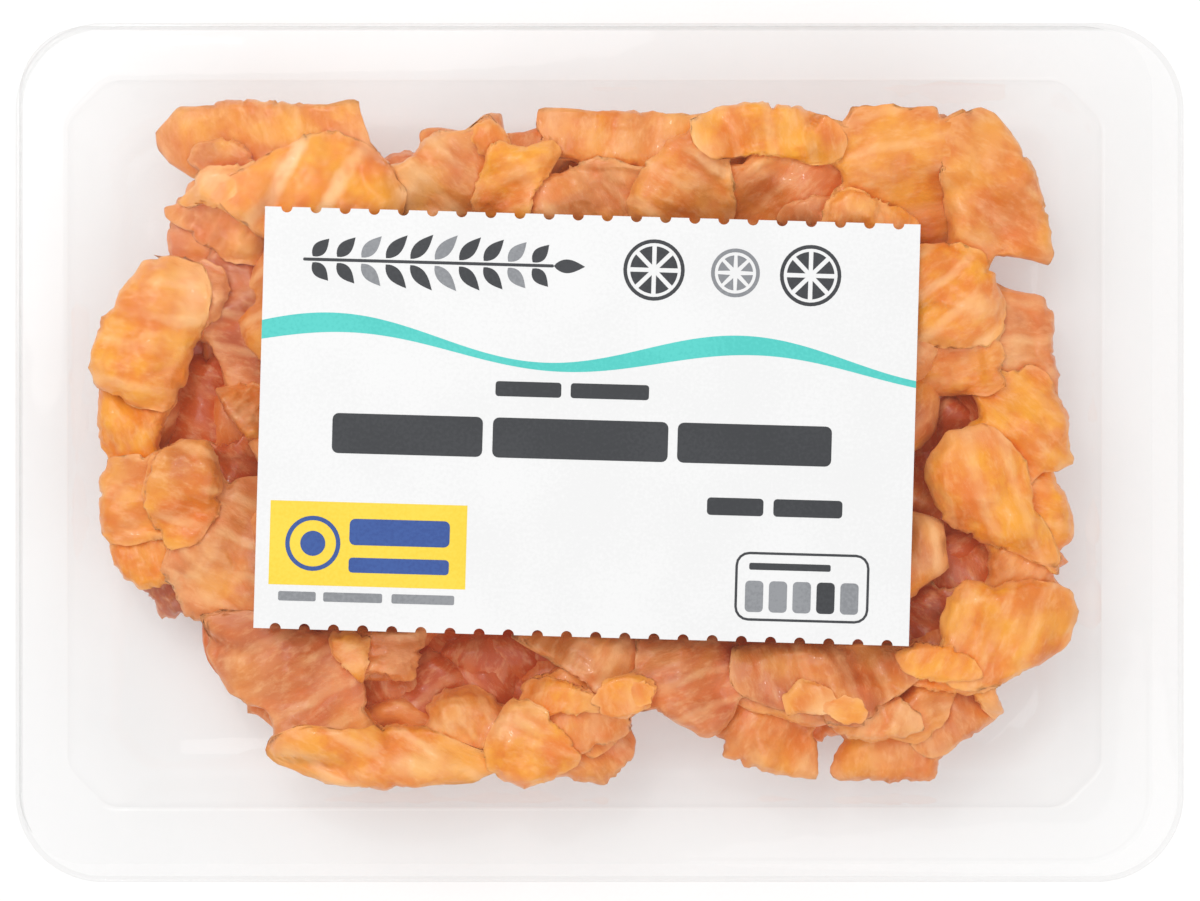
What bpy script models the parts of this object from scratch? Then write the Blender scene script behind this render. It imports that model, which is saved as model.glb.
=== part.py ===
# A shut clear pack of smoked salmon flakes: a shallow tray, the film sealed over it,
# a paper label with punched edges and the heap of torn flakes inside.
# Metres, +Z up, +X along the long side. The origin is under the middle of the tray's
# rim, at the level that the tray rests on.

import math
import random

import bmesh
import bpy
from mathutils import Euler, Matrix, Vector

MM = 0.001

# Rim of the tray
RIM_LENGTH = 187 * MM
RIM_WIDTH = 137.5 * MM
RIM_CORNER = 14 * MM
RIM_THICKNESS = 0.6 * MM
TRAY_HEIGHT = 21.2 * MM

# Raised ring that the film is sealed to, set a little off the middle of the rim
RING_CENTRE = (-2.4 * MM, 1.4 * MM)
RING_LENGTH = 180.8 * MM
RING_WIDTH = 133.6 * MM
RING_CORNER = 11 * MM
RING_STEP = 0.6 * MM
RING_SLOPE = 0.5 * MM

# Pocket that holds the fish
POCKET_LENGTH = 165.6 * MM
POCKET_WIDTH = 116.5 * MM
POCKET_CORNER = 5 * MM
POCKET_CORNER_CUT = 6.4 * MM
POCKET_LIP = 0.8 * MM
WALL_THICKNESS = 0.5 * MM
WALL_DRAFT = math.radians(12)
FLOOR_FILLET = 7 * MM
FILLET_STEPS = 4

# How a corner widens from the pocket's mouth down to its floor, for each unit of inset
CORNER_GROWTH = 0.6
CORNER_CUT_GROWTH = 0.25
ARC_STEPS = 3
ROUND_CORNER_CUT = 0.62

# Lid film and label
GAP = 0.3 * MM
FILM_THICKNESS = 0.2 * MM
FILM_OVERHANG = 0.3 * MM
LABEL_CENTRE = (-2.0 * MM, 4.2 * MM)
LABEL_LENGTH = 104.6 * MM
LABEL_WIDTH = 67.3 * MM
LABEL_THICKNESS = 0.2 * MM
LABEL_TURN = math.radians(-1.6)
NOTCH_COUNT = 22
NOTCH_PITCH = 4.65 * MM
NOTCH_RADIUS = 0.9 * MM
NOTCH_STEPS = 4

# Core of the heap: inset of each level from the widest one, and its height over the floor
CORE_LENGTH = 136 * MM
CORE_WIDTH = 88 * MM
CORE_CORNER = 12 * MM
CORE_CORNER_CUT = 20 * MM
CORE_LEVELS = ((5, 0), (1, 3), (0, 6), (1.5, 10), (6, 13.5))

# Flakes of the heap
FLAKE_SEED = 12
FLAKE_SIDES = 9
FLAKE_RINGS = 5
FLAKE_THICKNESS = (5.4, 7.6)
FLAKE_RAGGED = 0.15
FLAKE_TILT = 9
FLAKE_FLATNESS = 0.6
FLAKE_SQUARENESS = 0.75
WALL_CLEARANCE = (0.5, 1.1)

# Flakes that show from above, along the four sides of the heap.
# Each is: x, y and z of its middle, its length and width in millimetres, and its turn in degrees.
FAR_FLAKES = (
    (-55, 50, 16, 34, 13, -2),
    (-47, 43, 17, 38, 14, 12),
    (-63, 36, 15, 14, 11, -25),
    (-26, 45, 15, 15, 14, 40),
    (-18, 49, 14, 10, 9, 10),
    (-12, 45, 17, 16, 12, 30),
    (1, 50, 15, 25, 11, -3),
    (-2, 42, 17, 17, 9, 12),
    (13, 44, 17, 20, 14, 35),
    (27, 50, 16, 26, 12, -8),
    (32, 42, 15, 18, 13, 5),
    (48, 47, 15, 18, 16, -50),
    (64, 43, 16, 25, 17, -58),
    (44, 39, 18, 16, 8, -8),
)
RIGHT_FLAKES = (
    (58, 27, 17, 16, 15, 30),
    (58, 15, 16, 15, 12, 0),
    (70, 18, 13, 20, 9, 88),
    (69, 6, 14, 18, 13, -60),
    (60, -5, 17, 19, 16, -60),
    (72, -11, 15, 15, 10, 90),
    (59, -18, 12, 17, 12, 0),
    (66, -28, 16, 22, 17, 20),
)
NEAR_FLAKES = (
    (57, -40, 14, 19, 13, 12),
    (46, -47, 13, 19, 11, 0),
    (44, -41, 16, 18, 11, 6),
    (28, -45, 14, 18, 14, -12),
    (35, -35, 16, 25, 12, 0),
    (15, -37, 16, 19, 15, -22),
    (4, -39, 17, 12, 9, 20),
    (-1, -46, 14, 12, 13, 80),
    (-11, -46, 17, 16, 14, -35),
    (-7, -39, 16, 12, 8, -25),
    (-23, -41, 14, 13, 11, 15),
    (-37, -48, 16, 36, 11, -5),
    (-50, -37, 15, 28, 15, -38),
    (-37, -32, 17, 14, 10, -60),
)
LEFT_FLAKES = (
    (-70, -22, 12, 12, 9, -30),
    (-75, -8, 15, 17, 10, 86),
    (-67, -7, 17, 17, 12, 78),
    (-73, -18, 15, 13, 11, 50),
    (-61, -17, 16, 24, 14, 100),
    (-73, 19, 17, 25, 16, 76),
    (-74, 5, 14, 14, 12, 20),
    (-58, 5, 15, 13, 11, 60),
    (-65, 32, 14, 14, 10, 30),
    (-60, 26, 15, 16, 12, 80),
)

# Flakes by rule: a grid under the label, and a lower course round the heap
MIDDLE_GRID = (6, 3)
MIDDLE_SPACING = (19, 18)
MIDDLE_OFFSET = 3
MIDDLE_SIZE = (24, 17)
MIDDLE_HEIGHT = 15
COURSE_COUNT = 24
COURSE_RADII = (68, 43)
COURSE_POWER = 3.5
COURSE_SIZE = (22, 13)
COURSE_HEIGHT = 6

PACK_NAME = "smoked_salmon_pack"


def clear_scene():
    for thing in list(bpy.data.objects):
        bpy.data.objects.remove(thing, do_unlink=True)


def make_collection(name):
    collection = bpy.data.collections.new(name)
    bpy.context.scene.collection.children.link(collection)
    return collection


def make_material(name, colour, roughness, alpha=1.0):
    material = bpy.data.materials.new(name)
    material.use_nodes = True
    shader = material.node_tree.nodes["Principled BSDF"]
    shader.inputs["Base Color"].default_value = (*colour, 1.0)
    shader.inputs["Roughness"].default_value = roughness
    shader.inputs["Metallic"].default_value = 0.0
    shader.inputs["Alpha"].default_value = alpha
    return material


def object_from_bmesh(name, bm, collection, material=None):
    mesh = bpy.data.meshes.new(name)
    bm.to_mesh(mesh)
    bm.free()
    thing = bpy.data.objects.new(name, mesh)
    collection.objects.link(thing)
    if material:
        mesh.materials.append(material)
    return thing


def corner_outline(length, width, radius, cut):
    # One corner of the plan: an arc, a straight cut at 45 degrees and an arc,
    # for the quarter where x and y are positive.
    tangent = radius * math.tan(math.pi / 8)
    first = (length / 2 - radius, width / 2 - cut - tangent)
    second = (length / 2 - cut - tangent, width / 2 - radius)
    points = []
    for centre, start in ((first, 0.0), (second, math.pi / 4)):
        for step in range(ARC_STEPS + 1):
            angle = start + math.pi / 4 * step / ARC_STEPS
            x = centre[0] + radius * math.cos(angle)
            y = centre[1] + radius * math.sin(angle)
            points.append((x, y))
    return points


def plan_outline(length, width, radius, cut):
    # All four corners, counter-clockwise.
    corner = corner_outline(length, width, radius, cut)
    points = list(corner)
    points += [(-x, y) for x, y in reversed(corner)]
    points += [(-x, -y) for x, y in corner]
    points += [(x, -y) for x, y in reversed(corner)]
    return points


def pocket_section(height, outset):
    # Points of the pocket's wall from its floor to its lip, as inset from the mouth and z.
    # outset is 0 for the inner face and the wall's thickness for the outer one.
    sweep = math.pi / 2 - WALL_DRAFT
    fillet_rise = FLOOR_FILLET * (1 - math.cos(sweep))
    wall_run = (height - fillet_rise) * math.tan(WALL_DRAFT)
    floor_inset = wall_run + FLOOR_FILLET * math.sin(sweep)
    section = []
    for step in range(FILLET_STEPS + 1):
        angle = sweep * step / FILLET_STEPS
        inset = floor_inset - (FLOOR_FILLET + outset) * math.sin(angle)
        z = FLOOR_FILLET * (1 - math.cos(angle)) - outset * math.cos(angle)
        section.append((inset, z))
    return section


def pocket_inset(z):
    # How far the pocket's inner face lies inside its mouth at a height over the floor.
    sweep = math.pi / 2 - WALL_DRAFT
    fillet_rise = FLOOR_FILLET * (1 - math.cos(sweep))
    depth = TRAY_HEIGHT - WALL_THICKNESS
    wall_run = (depth - max(z, fillet_rise)) * math.tan(WALL_DRAFT)
    if z >= fillet_rise:
        return wall_run
    angle = math.acos(max(-1.0, min(1.0, 1 - z / FLOOR_FILLET)))
    return wall_run + FLOOR_FILLET * (math.sin(sweep) - math.sin(angle))


def pocket_loop(inset, z):
    radius = POCKET_CORNER + max(inset, 0.0) * CORNER_GROWTH
    cut = POCKET_CORNER_CUT + max(inset, 0.0) * CORNER_CUT_GROWTH
    plan = plan_outline(POCKET_LENGTH - 2 * inset, POCKET_WIDTH - 2 * inset, radius, cut)
    return [(x + RING_CENTRE[0], y + RING_CENTRE[1], z) for x, y in plan]


def ring_loop(outset, z):
    corner = RING_CORNER + outset
    length = RING_LENGTH + 2 * outset
    width = RING_WIDTH + 2 * outset
    plan = plan_outline(length, width, corner, corner * ROUND_CORNER_CUT)
    return [(x + RING_CENTRE[0], y + RING_CENTRE[1], z) for x, y in plan]


def rim_loop(inset, z):
    corner = RIM_CORNER - inset
    plan = plan_outline(RIM_LENGTH - 2 * inset, RIM_WIDTH - 2 * inset, corner, corner * ROUND_CORNER_CUT)
    return [(x, y, z) for x, y in plan]


def loft(loops, name, collection, material):
    # Joins each outline to the next with quads and closes both ends.
    bm = bmesh.new()
    rings = [[bm.verts.new(point) for point in loop] for loop in loops]
    count = len(rings[0])
    for lower, upper in zip(rings, rings[1:]):
        for i in range(count):
            j = (i + 1) % count
            bm.faces.new((lower[i], lower[j], upper[j], upper[i]))
    bm.faces.new(list(reversed(rings[0])))
    bm.faces.new(rings[-1])
    bmesh.ops.recalc_face_normals(bm, faces=bm.faces)
    return object_from_bmesh(name, bm, collection, material)


def make_tray(collection):
    material = make_material("clear_tray", (0.93, 0.94, 0.94), 0.08, 0.3)
    top = TRAY_HEIGHT
    low = top - RING_STEP
    depth = top - WALL_THICKNESS
    edge_round = RIM_THICKNESS / 4
    loops = []
    # Inside, from the floor up to the lip
    for inset, z in pocket_section(depth, 0.0):
        loops.append(pocket_loop(inset, z + WALL_THICKNESS))
    lip_inset = POCKET_LIP * math.tan(WALL_DRAFT)
    loops.append(pocket_loop(lip_inset, top - POCKET_LIP))
    loops.append(pocket_loop(-POCKET_LIP / 2, top))
    # Over the ring and the rim
    loops.append(ring_loop(-RING_SLOPE, top))
    loops.append(ring_loop(0.0, low))
    loops.append(rim_loop(edge_round, low))
    loops.append(rim_loop(0.0, low - edge_round))
    loops.append(rim_loop(0.0, low - RIM_THICKNESS + edge_round))
    loops.append(rim_loop(edge_round, low - RIM_THICKNESS))
    # Back under the ring to the wall
    loops.append(ring_loop(0.0, low - RIM_THICKNESS))
    loops.append(ring_loop(-RING_SLOPE, top - RIM_THICKNESS))
    loops.append(pocket_loop(-POCKET_LIP - WALL_THICKNESS / 2, top - RIM_THICKNESS))
    loops.append(pocket_loop(-WALL_THICKNESS / 2, top - 2 * RIM_THICKNESS))
    # Outside, from the wall's top down to the floor
    for inset, z in reversed(pocket_section(depth, WALL_THICKNESS)):
        loops.append(pocket_loop(inset, z + WALL_THICKNESS))
    return loft(loops, "tray", collection, material)


def flat_sheet(name, points, bottom, thickness, collection, material):
    # A flat outline as a filled 2D curve with thickness, turned into a welded mesh.
    curve = bpy.data.curves.new(name + "_outline", "CURVE")
    curve.dimensions = "2D"
    curve.fill_mode = "BOTH"
    curve.extrude = thickness / 2
    spline = curve.splines.new("POLY")
    spline.points.add(len(points) - 1)
    for point, (x, y) in zip(spline.points, points):
        point.co = (x, y, 0.0, 1.0)
    spline.use_cyclic_u = True
    guide = bpy.data.objects.new(name + "_outline", curve)
    collection.objects.link(guide)
    depsgraph = bpy.context.evaluated_depsgraph_get()
    mesh = bpy.data.meshes.new_from_object(guide.evaluated_get(depsgraph))
    bm = bmesh.new()
    bm.from_mesh(mesh)
    bmesh.ops.remove_doubles(bm, verts=bm.verts, dist=0.01 * MM)
    bmesh.ops.recalc_face_normals(bm, faces=bm.faces)
    bmesh.ops.translate(bm, verts=bm.verts, vec=(0.0, 0.0, bottom + thickness / 2))
    bpy.data.objects.remove(guide, do_unlink=True)
    bpy.data.meshes.remove(mesh)
    return object_from_bmesh(name, bm, collection, material)


def make_lid_film(collection):
    material = make_material("lid_film", (0.96, 0.97, 0.97), 0.05, 0.2)
    outline = [(x, y) for x, y, _ in ring_loop(FILM_OVERHANG, 0.0)]
    return flat_sheet("lid_film", outline, TRAY_HEIGHT + GAP, FILM_THICKNESS, collection, material)


def label_edge():
    # The near long edge from left to right, with a half-round notch at every pitch.
    points = [(-LABEL_LENGTH / 2, -LABEL_WIDTH / 2)]
    first = -NOTCH_PITCH * (NOTCH_COUNT - 1) / 2
    for number in range(NOTCH_COUNT):
        middle = first + number * NOTCH_PITCH
        for step in range(NOTCH_STEPS + 1):
            angle = math.pi * (1 - step / NOTCH_STEPS)
            x = middle + NOTCH_RADIUS * math.cos(angle)
            y = -LABEL_WIDTH / 2 + NOTCH_RADIUS * math.sin(angle)
            points.append((x, y))
    points.append((LABEL_LENGTH / 2, -LABEL_WIDTH / 2))
    return points


def make_label(collection):
    material = make_material("label_paper", (0.95, 0.95, 0.94), 0.6)
    near = label_edge()
    outline = near + [(-x, -y) for x, y in near]
    turn = Matrix.Rotation(LABEL_TURN, 2)
    placed = []
    for point in outline:
        turned = turn @ Vector(point)
        placed.append((turned.x + LABEL_CENTRE[0], turned.y + LABEL_CENTRE[1]))
    bottom = TRAY_HEIGHT + GAP + FILM_THICKNESS + GAP
    return flat_sheet("label", placed, bottom, LABEL_THICKNESS, collection, material)


def keep_in_pocket(point, clearance):
    # Moves a point of a flake inside the walls, the cut corners, the floor and the film.
    floor = WALL_THICKNESS + GAP
    ceiling = TRAY_HEIGHT - clearance / 2
    z = max(floor, min(ceiling, point.z))
    inset = pocket_inset(z - WALL_THICKNESS) + clearance
    half_x = POCKET_LENGTH / 2 - inset
    half_y = POCKET_WIDTH / 2 - inset
    x = max(-half_x, min(half_x, point.x - RING_CENTRE[0]))
    y = max(-half_y, min(half_y, point.y - RING_CENTRE[1]))
    cut = POCKET_CORNER_CUT + inset * (CORNER_GROWTH + CORNER_CUT_GROWTH)
    excess = abs(x) + abs(y) - (half_x + half_y - cut)
    if excess > 0:
        x -= math.copysign(excess / 2, x)
        y -= math.copysign(excess / 2, y)
    return Vector((x + RING_CENTRE[0], y + RING_CENTRE[1], z))


def signed_power(value, power):
    return math.copysign(abs(value) ** power, value)


def make_flake(draw, place, collection):
    # A flattened ball with a ragged plan, bent along its length, tilted and turned.
    x, y, z, length, width, turn = place
    thickness = draw.uniform(*FLAKE_THICKNESS) * MM
    ragged = [1 + draw.uniform(-FLAKE_RAGGED, FLAKE_RAGGED) for _ in range(FLAKE_SIDES)]
    bend = draw.uniform(-0.3, 0.8) * thickness
    clearance = draw.uniform(*WALL_CLEARANCE) * MM
    tilt = [math.radians(draw.uniform(-FLAKE_TILT, FLAKE_TILT)) for _ in range(2)]
    spin = Euler((tilt[0], tilt[1], math.radians(turn))).to_matrix()
    bm = bmesh.new()
    bmesh.ops.create_uvsphere(bm, u_segments=FLAKE_SIDES, v_segments=FLAKE_RINGS, radius=1.0)
    for vert in bm.verts:
        angle = math.atan2(vert.co.y, vert.co.x)
        side = round(angle / math.tau * FLAKE_SIDES) % FLAKE_SIDES
        reach = ragged[side] * math.hypot(vert.co.x, vert.co.y) ** FLAKE_FLATNESS
        along = reach * signed_power(math.cos(angle), FLAKE_SQUARENESS)
        across = reach * signed_power(math.sin(angle), FLAKE_SQUARENESS)
        rise = signed_power(vert.co.z, FLAKE_FLATNESS) * thickness / 2 - bend * along ** 2
        shaped = Vector((along * length * MM / 2, across * width * MM / 2, rise))
        placed = spin @ shaped + Vector((x, y, z)) * MM
        vert.co = keep_in_pocket(placed, clearance)
    bmesh.ops.recalc_face_normals(bm, faces=bm.faces)
    return object_from_bmesh("flake", bm, collection)


def middle_places(draw):
    # A loose grid of flakes under the label.
    places = []
    for column in range(MIDDLE_GRID[0]):
        for row in range(MIDDLE_GRID[1]):
            x = (column - (MIDDLE_GRID[0] - 1) / 2) * MIDDLE_SPACING[0] + draw.uniform(-3, 3)
            y = (row - (MIDDLE_GRID[1] - 1) / 2) * MIDDLE_SPACING[1] + draw.uniform(-3, 3)
            z = MIDDLE_HEIGHT + draw.uniform(-1, 1)
            places.append((x, y + MIDDLE_OFFSET, z, *MIDDLE_SIZE, draw.uniform(0, 180)))
    return places


def course_places(draw):
    # Lower flakes in a ring round the foot of the heap, seen through the walls.
    places = []
    for number in range(COURSE_COUNT):
        angle = math.tau * number / COURSE_COUNT
        reach = (abs(math.cos(angle)) ** COURSE_POWER + abs(math.sin(angle)) ** COURSE_POWER)
        reach = reach ** (-1 / COURSE_POWER)
        x = COURSE_RADII[0] * math.cos(angle) * reach * 0.95
        y = COURSE_RADII[1] * math.sin(angle) * reach * 0.95 + 1
        z = COURSE_HEIGHT + draw.uniform(-1.5, 2.5)
        turn = math.degrees(angle) + 90 + draw.uniform(-25, 25)
        places.append((x, y, z, *COURSE_SIZE, turn))
    return places


def make_core(collection, material):
    loops = []
    for inset, height in CORE_LEVELS:
        length = CORE_LENGTH - 2 * inset * MM
        width = CORE_WIDTH - 2 * inset * MM
        plan = plan_outline(length, width, CORE_CORNER, CORE_CORNER_CUT)
        z = WALL_THICKNESS + GAP + height * MM
        loops.append([(x + RING_CENTRE[0] / 2, y + RING_CENTRE[1], z) for x, y in plan])
    return loft(loops, "salmon_heap", collection, material)


def keep_largest_body(bm):
    # Fills sealed hollows and drops loose scraps: only the largest closed surface stays.
    bm.verts.ensure_lookup_table()
    unseen = set(bm.verts)
    bodies = []
    while unseen:
        start = unseen.pop()
        body = {start}
        edge_of_search = [start]
        while edge_of_search:
            vert = edge_of_search.pop()
            for edge in vert.link_edges:
                other = edge.other_vert(vert)
                if other in unseen:
                    unseen.remove(other)
                    body.add(other)
                    edge_of_search.append(other)
        bodies.append(body)
    bodies.sort(key=len, reverse=True)
    spare = [vert for body in bodies[1:] for vert in body]
    bmesh.ops.delete(bm, geom=spare, context="VERTS")


def make_salmon_heap(collection):
    material = make_material("smoked_salmon", (0.85, 0.36, 0.12), 0.3)
    heap = make_core(collection, material)
    flakes = make_collection("flakes")
    draw = random.Random(FLAKE_SEED)
    places = list(FAR_FLAKES + RIGHT_FLAKES + NEAR_FLAKES + LEFT_FLAKES)
    places += middle_places(draw)
    places += course_places(draw)
    for place in places:
        make_flake(draw, place, flakes)
    union = heap.modifiers.new("join_flakes", "BOOLEAN")
    union.operation = "UNION"
    union.solver = "EXACT"
    union.operand_type = "COLLECTION"
    union.collection = flakes
    depsgraph = bpy.context.evaluated_depsgraph_get()
    joined = bpy.data.meshes.new_from_object(heap.evaluated_get(depsgraph))
    heap.modifiers.clear()
    for flake in list(flakes.objects):
        bpy.data.objects.remove(flake, do_unlink=True)
    bpy.data.collections.remove(flakes)
    bm = bmesh.new()
    bm.from_mesh(joined)
    bmesh.ops.triangulate(bm, faces=bm.faces)
    keep_largest_body(bm)
    bm.to_mesh(heap.data)
    bm.free()
    bpy.data.meshes.remove(joined)
    return heap


def main():
    clear_scene()
    pack = make_collection(PACK_NAME)
    make_tray(pack)
    make_salmon_heap(pack)
    make_lid_film(pack)
    make_label(pack)


main()
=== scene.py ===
import math
import random

import bpy
import numpy as np
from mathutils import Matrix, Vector, noise
from mathutils.kdtree import KDTree


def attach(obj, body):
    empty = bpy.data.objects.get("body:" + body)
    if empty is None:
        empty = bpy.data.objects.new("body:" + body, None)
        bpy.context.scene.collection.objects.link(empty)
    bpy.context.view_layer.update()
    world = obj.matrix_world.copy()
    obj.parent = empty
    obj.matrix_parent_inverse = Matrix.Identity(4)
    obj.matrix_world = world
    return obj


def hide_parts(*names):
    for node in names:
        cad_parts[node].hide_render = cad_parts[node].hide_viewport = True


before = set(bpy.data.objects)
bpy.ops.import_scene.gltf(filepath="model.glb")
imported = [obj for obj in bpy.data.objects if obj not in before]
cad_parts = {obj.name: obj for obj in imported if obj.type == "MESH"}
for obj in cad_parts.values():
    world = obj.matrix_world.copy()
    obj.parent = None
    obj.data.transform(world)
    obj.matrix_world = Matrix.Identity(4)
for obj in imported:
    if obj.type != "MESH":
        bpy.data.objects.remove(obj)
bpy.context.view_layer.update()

print("frame loaded")

mm = 0.001

# Where a pixel of the reference view lies on the tray, seen from straight above
view = {
    "pixelsPerMm": 6.257,
    "middle": (599.5, 452.5),
    "imageWidth": 1200,
    "imageMiddle": (600, 450.5),
    "lens": 100,
    "sensor": 36,
}

# Sizes that both the tray and what lies in it are fitted to, in millimetres
pocket = {
    "centre": (-2.4, 1.4),
    "length": 165.6,
    "width": 116.5,
    "corner": 5,
    "cornerCut": 6.4,
    "cornerGrowth": 0.6,
    "cutGrowth": 0.25,
    "draft": 12,
    "fillet": 7,
    "wall": 0.5,
    "top": 21.2,
}


def toTray(pixel):
    # a pixel of the reference view as x and y in millimetres
    scale = view["pixelsPerMm"]
    return ((pixel[0] - view["middle"][0]) / scale, (view["middle"][1] - pixel[1]) / scale)


def colour(red, green, blue):
    # a colour as it looks on a screen, 0 to 255, made linear for the shader
    parts = []
    for value in (red, green, blue):
        value = value / 255
        parts.append(value / 12.92 if value <= 0.04045 else ((value + 0.055) / 1.055) ** 2.4)
    return (*parts, 1.0)


def deselectAll():
    if bpy.context.object and bpy.context.object.mode != "OBJECT":
        bpy.ops.object.mode_set(mode="OBJECT")
    bpy.ops.object.select_all(action="DESELECT")


def selectOnly(*pieces):
    deselectAll()
    for piece in pieces:
        piece.select_set(True)
    bpy.context.view_layer.objects.active = pieces[0]


def applyModifier(piece, kind, **settings):
    selectOnly(piece)
    modifier = piece.modifiers.new(kind.lower(), kind)
    for key, value in settings.items():
        setattr(modifier, key, value)
    bpy.ops.object.modifier_apply(modifier=modifier.name)


def applyPlace(piece):
    selectOnly(piece)
    bpy.ops.object.transform_apply(location=True, rotation=True, scale=True)


def readPoints(piece):
    points = np.empty(len(piece.data.vertices) * 3)
    piece.data.vertices.foreach_get("co", points)
    return points.reshape(-1, 3)


def writePoints(piece, points):
    piece.data.vertices.foreach_set("co", np.asarray(points, dtype=np.float32).ravel())
    piece.data.update()


def joinPieces(pieces, name):
    selectOnly(*pieces)
    bpy.ops.object.join()
    joined = bpy.context.object
    joined.name = name
    joined.data.name = name
    return joined


def setMaterial(piece, material):
    piece.data.materials.clear()
    piece.data.materials.append(material)


def noiseAt(points, size, seed):
    # smooth noise from -1 to 1 at each point, with features of about the given size
    return np.array([noise.noise(Vector(point) / size + Vector((seed, seed * 0.7, 0))) for point in points])


# Materials

def startMaterial(name):
    material = bpy.data.materials.new(name)
    material.use_nodes = True
    material.node_tree.nodes.clear()
    return material, material.node_tree


def addNode(tree, kind, inputs=None, **settings):
    node = tree.nodes.new("ShaderNode" + kind)
    for key, value in settings.items():
        setattr(node, key, value)
    for key, value in (inputs or {}).items():
        if hasattr(value, "links"):
            tree.links.new(value, node.inputs[key])
        else:
            node.inputs[key].default_value = value
    return node


def mixColours(tree, factor, first, second):
    node = addNode(tree, "Mix", data_type="RGBA")
    for socket, value in ((node.inputs[0], factor), (node.inputs[6], first), (node.inputs[7], second)):
        if hasattr(value, "links"):
            tree.links.new(value, socket)
        else:
            socket.default_value = value
    return node.outputs[2]


def ramp(tree, value, low, high):
    # 0 below low, 1 above high, smooth between
    node = addNode(tree, "MapRange", {"Value": value, "From Min": low, "From Max": high})
    node.interpolation_type = "SMOOTHSTEP"
    return node.outputs["Result"]


def calculate(tree, operation, *values):
    return addNode(tree, "Math", dict(enumerate(values)), operation=operation).outputs[0]


def attribute(tree, name, output="Fac"):
    return addNode(tree, "Attribute", attribute_name=name).outputs[output]


def clearPlastic(name, look):
    # see-through sheet with a mirror gloss that grows where it is seen edge on
    material, tree = startMaterial(name)
    facing = addNode(tree, "LayerWeight", {"Blend": 0.5}).outputs["Facing"]
    edgeOn = calculate(tree, "POWER", facing, 5.0)
    gloss = calculate(tree, "MULTIPLY_ADD", edgeOn, look["edgeGloss"], look["gloss"])
    place = addNode(tree, "TexCoord").outputs["Object"]
    ripple = addNode(tree, "TexNoise", {"Vector": place, "Scale": look["rippleScale"], "Detail": 1.0})
    bump = addNode(tree, "Bump", {"Height": ripple.outputs[0], "Strength": look["ripple"], "Distance": 0.001})
    through = addNode(tree, "BsdfTransparent", {"Color": look["tint"]})
    mirror = addNode(tree, "BsdfGlossy", {"Roughness": look["roughness"], "Normal": bump.outputs[0]})
    both = addNode(tree, "MixShader", {0: gloss, 1: through.outputs[0], 2: mirror.outputs[0]})
    addNode(tree, "OutputMaterial", {"Surface": both.outputs[0]})
    return material


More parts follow.
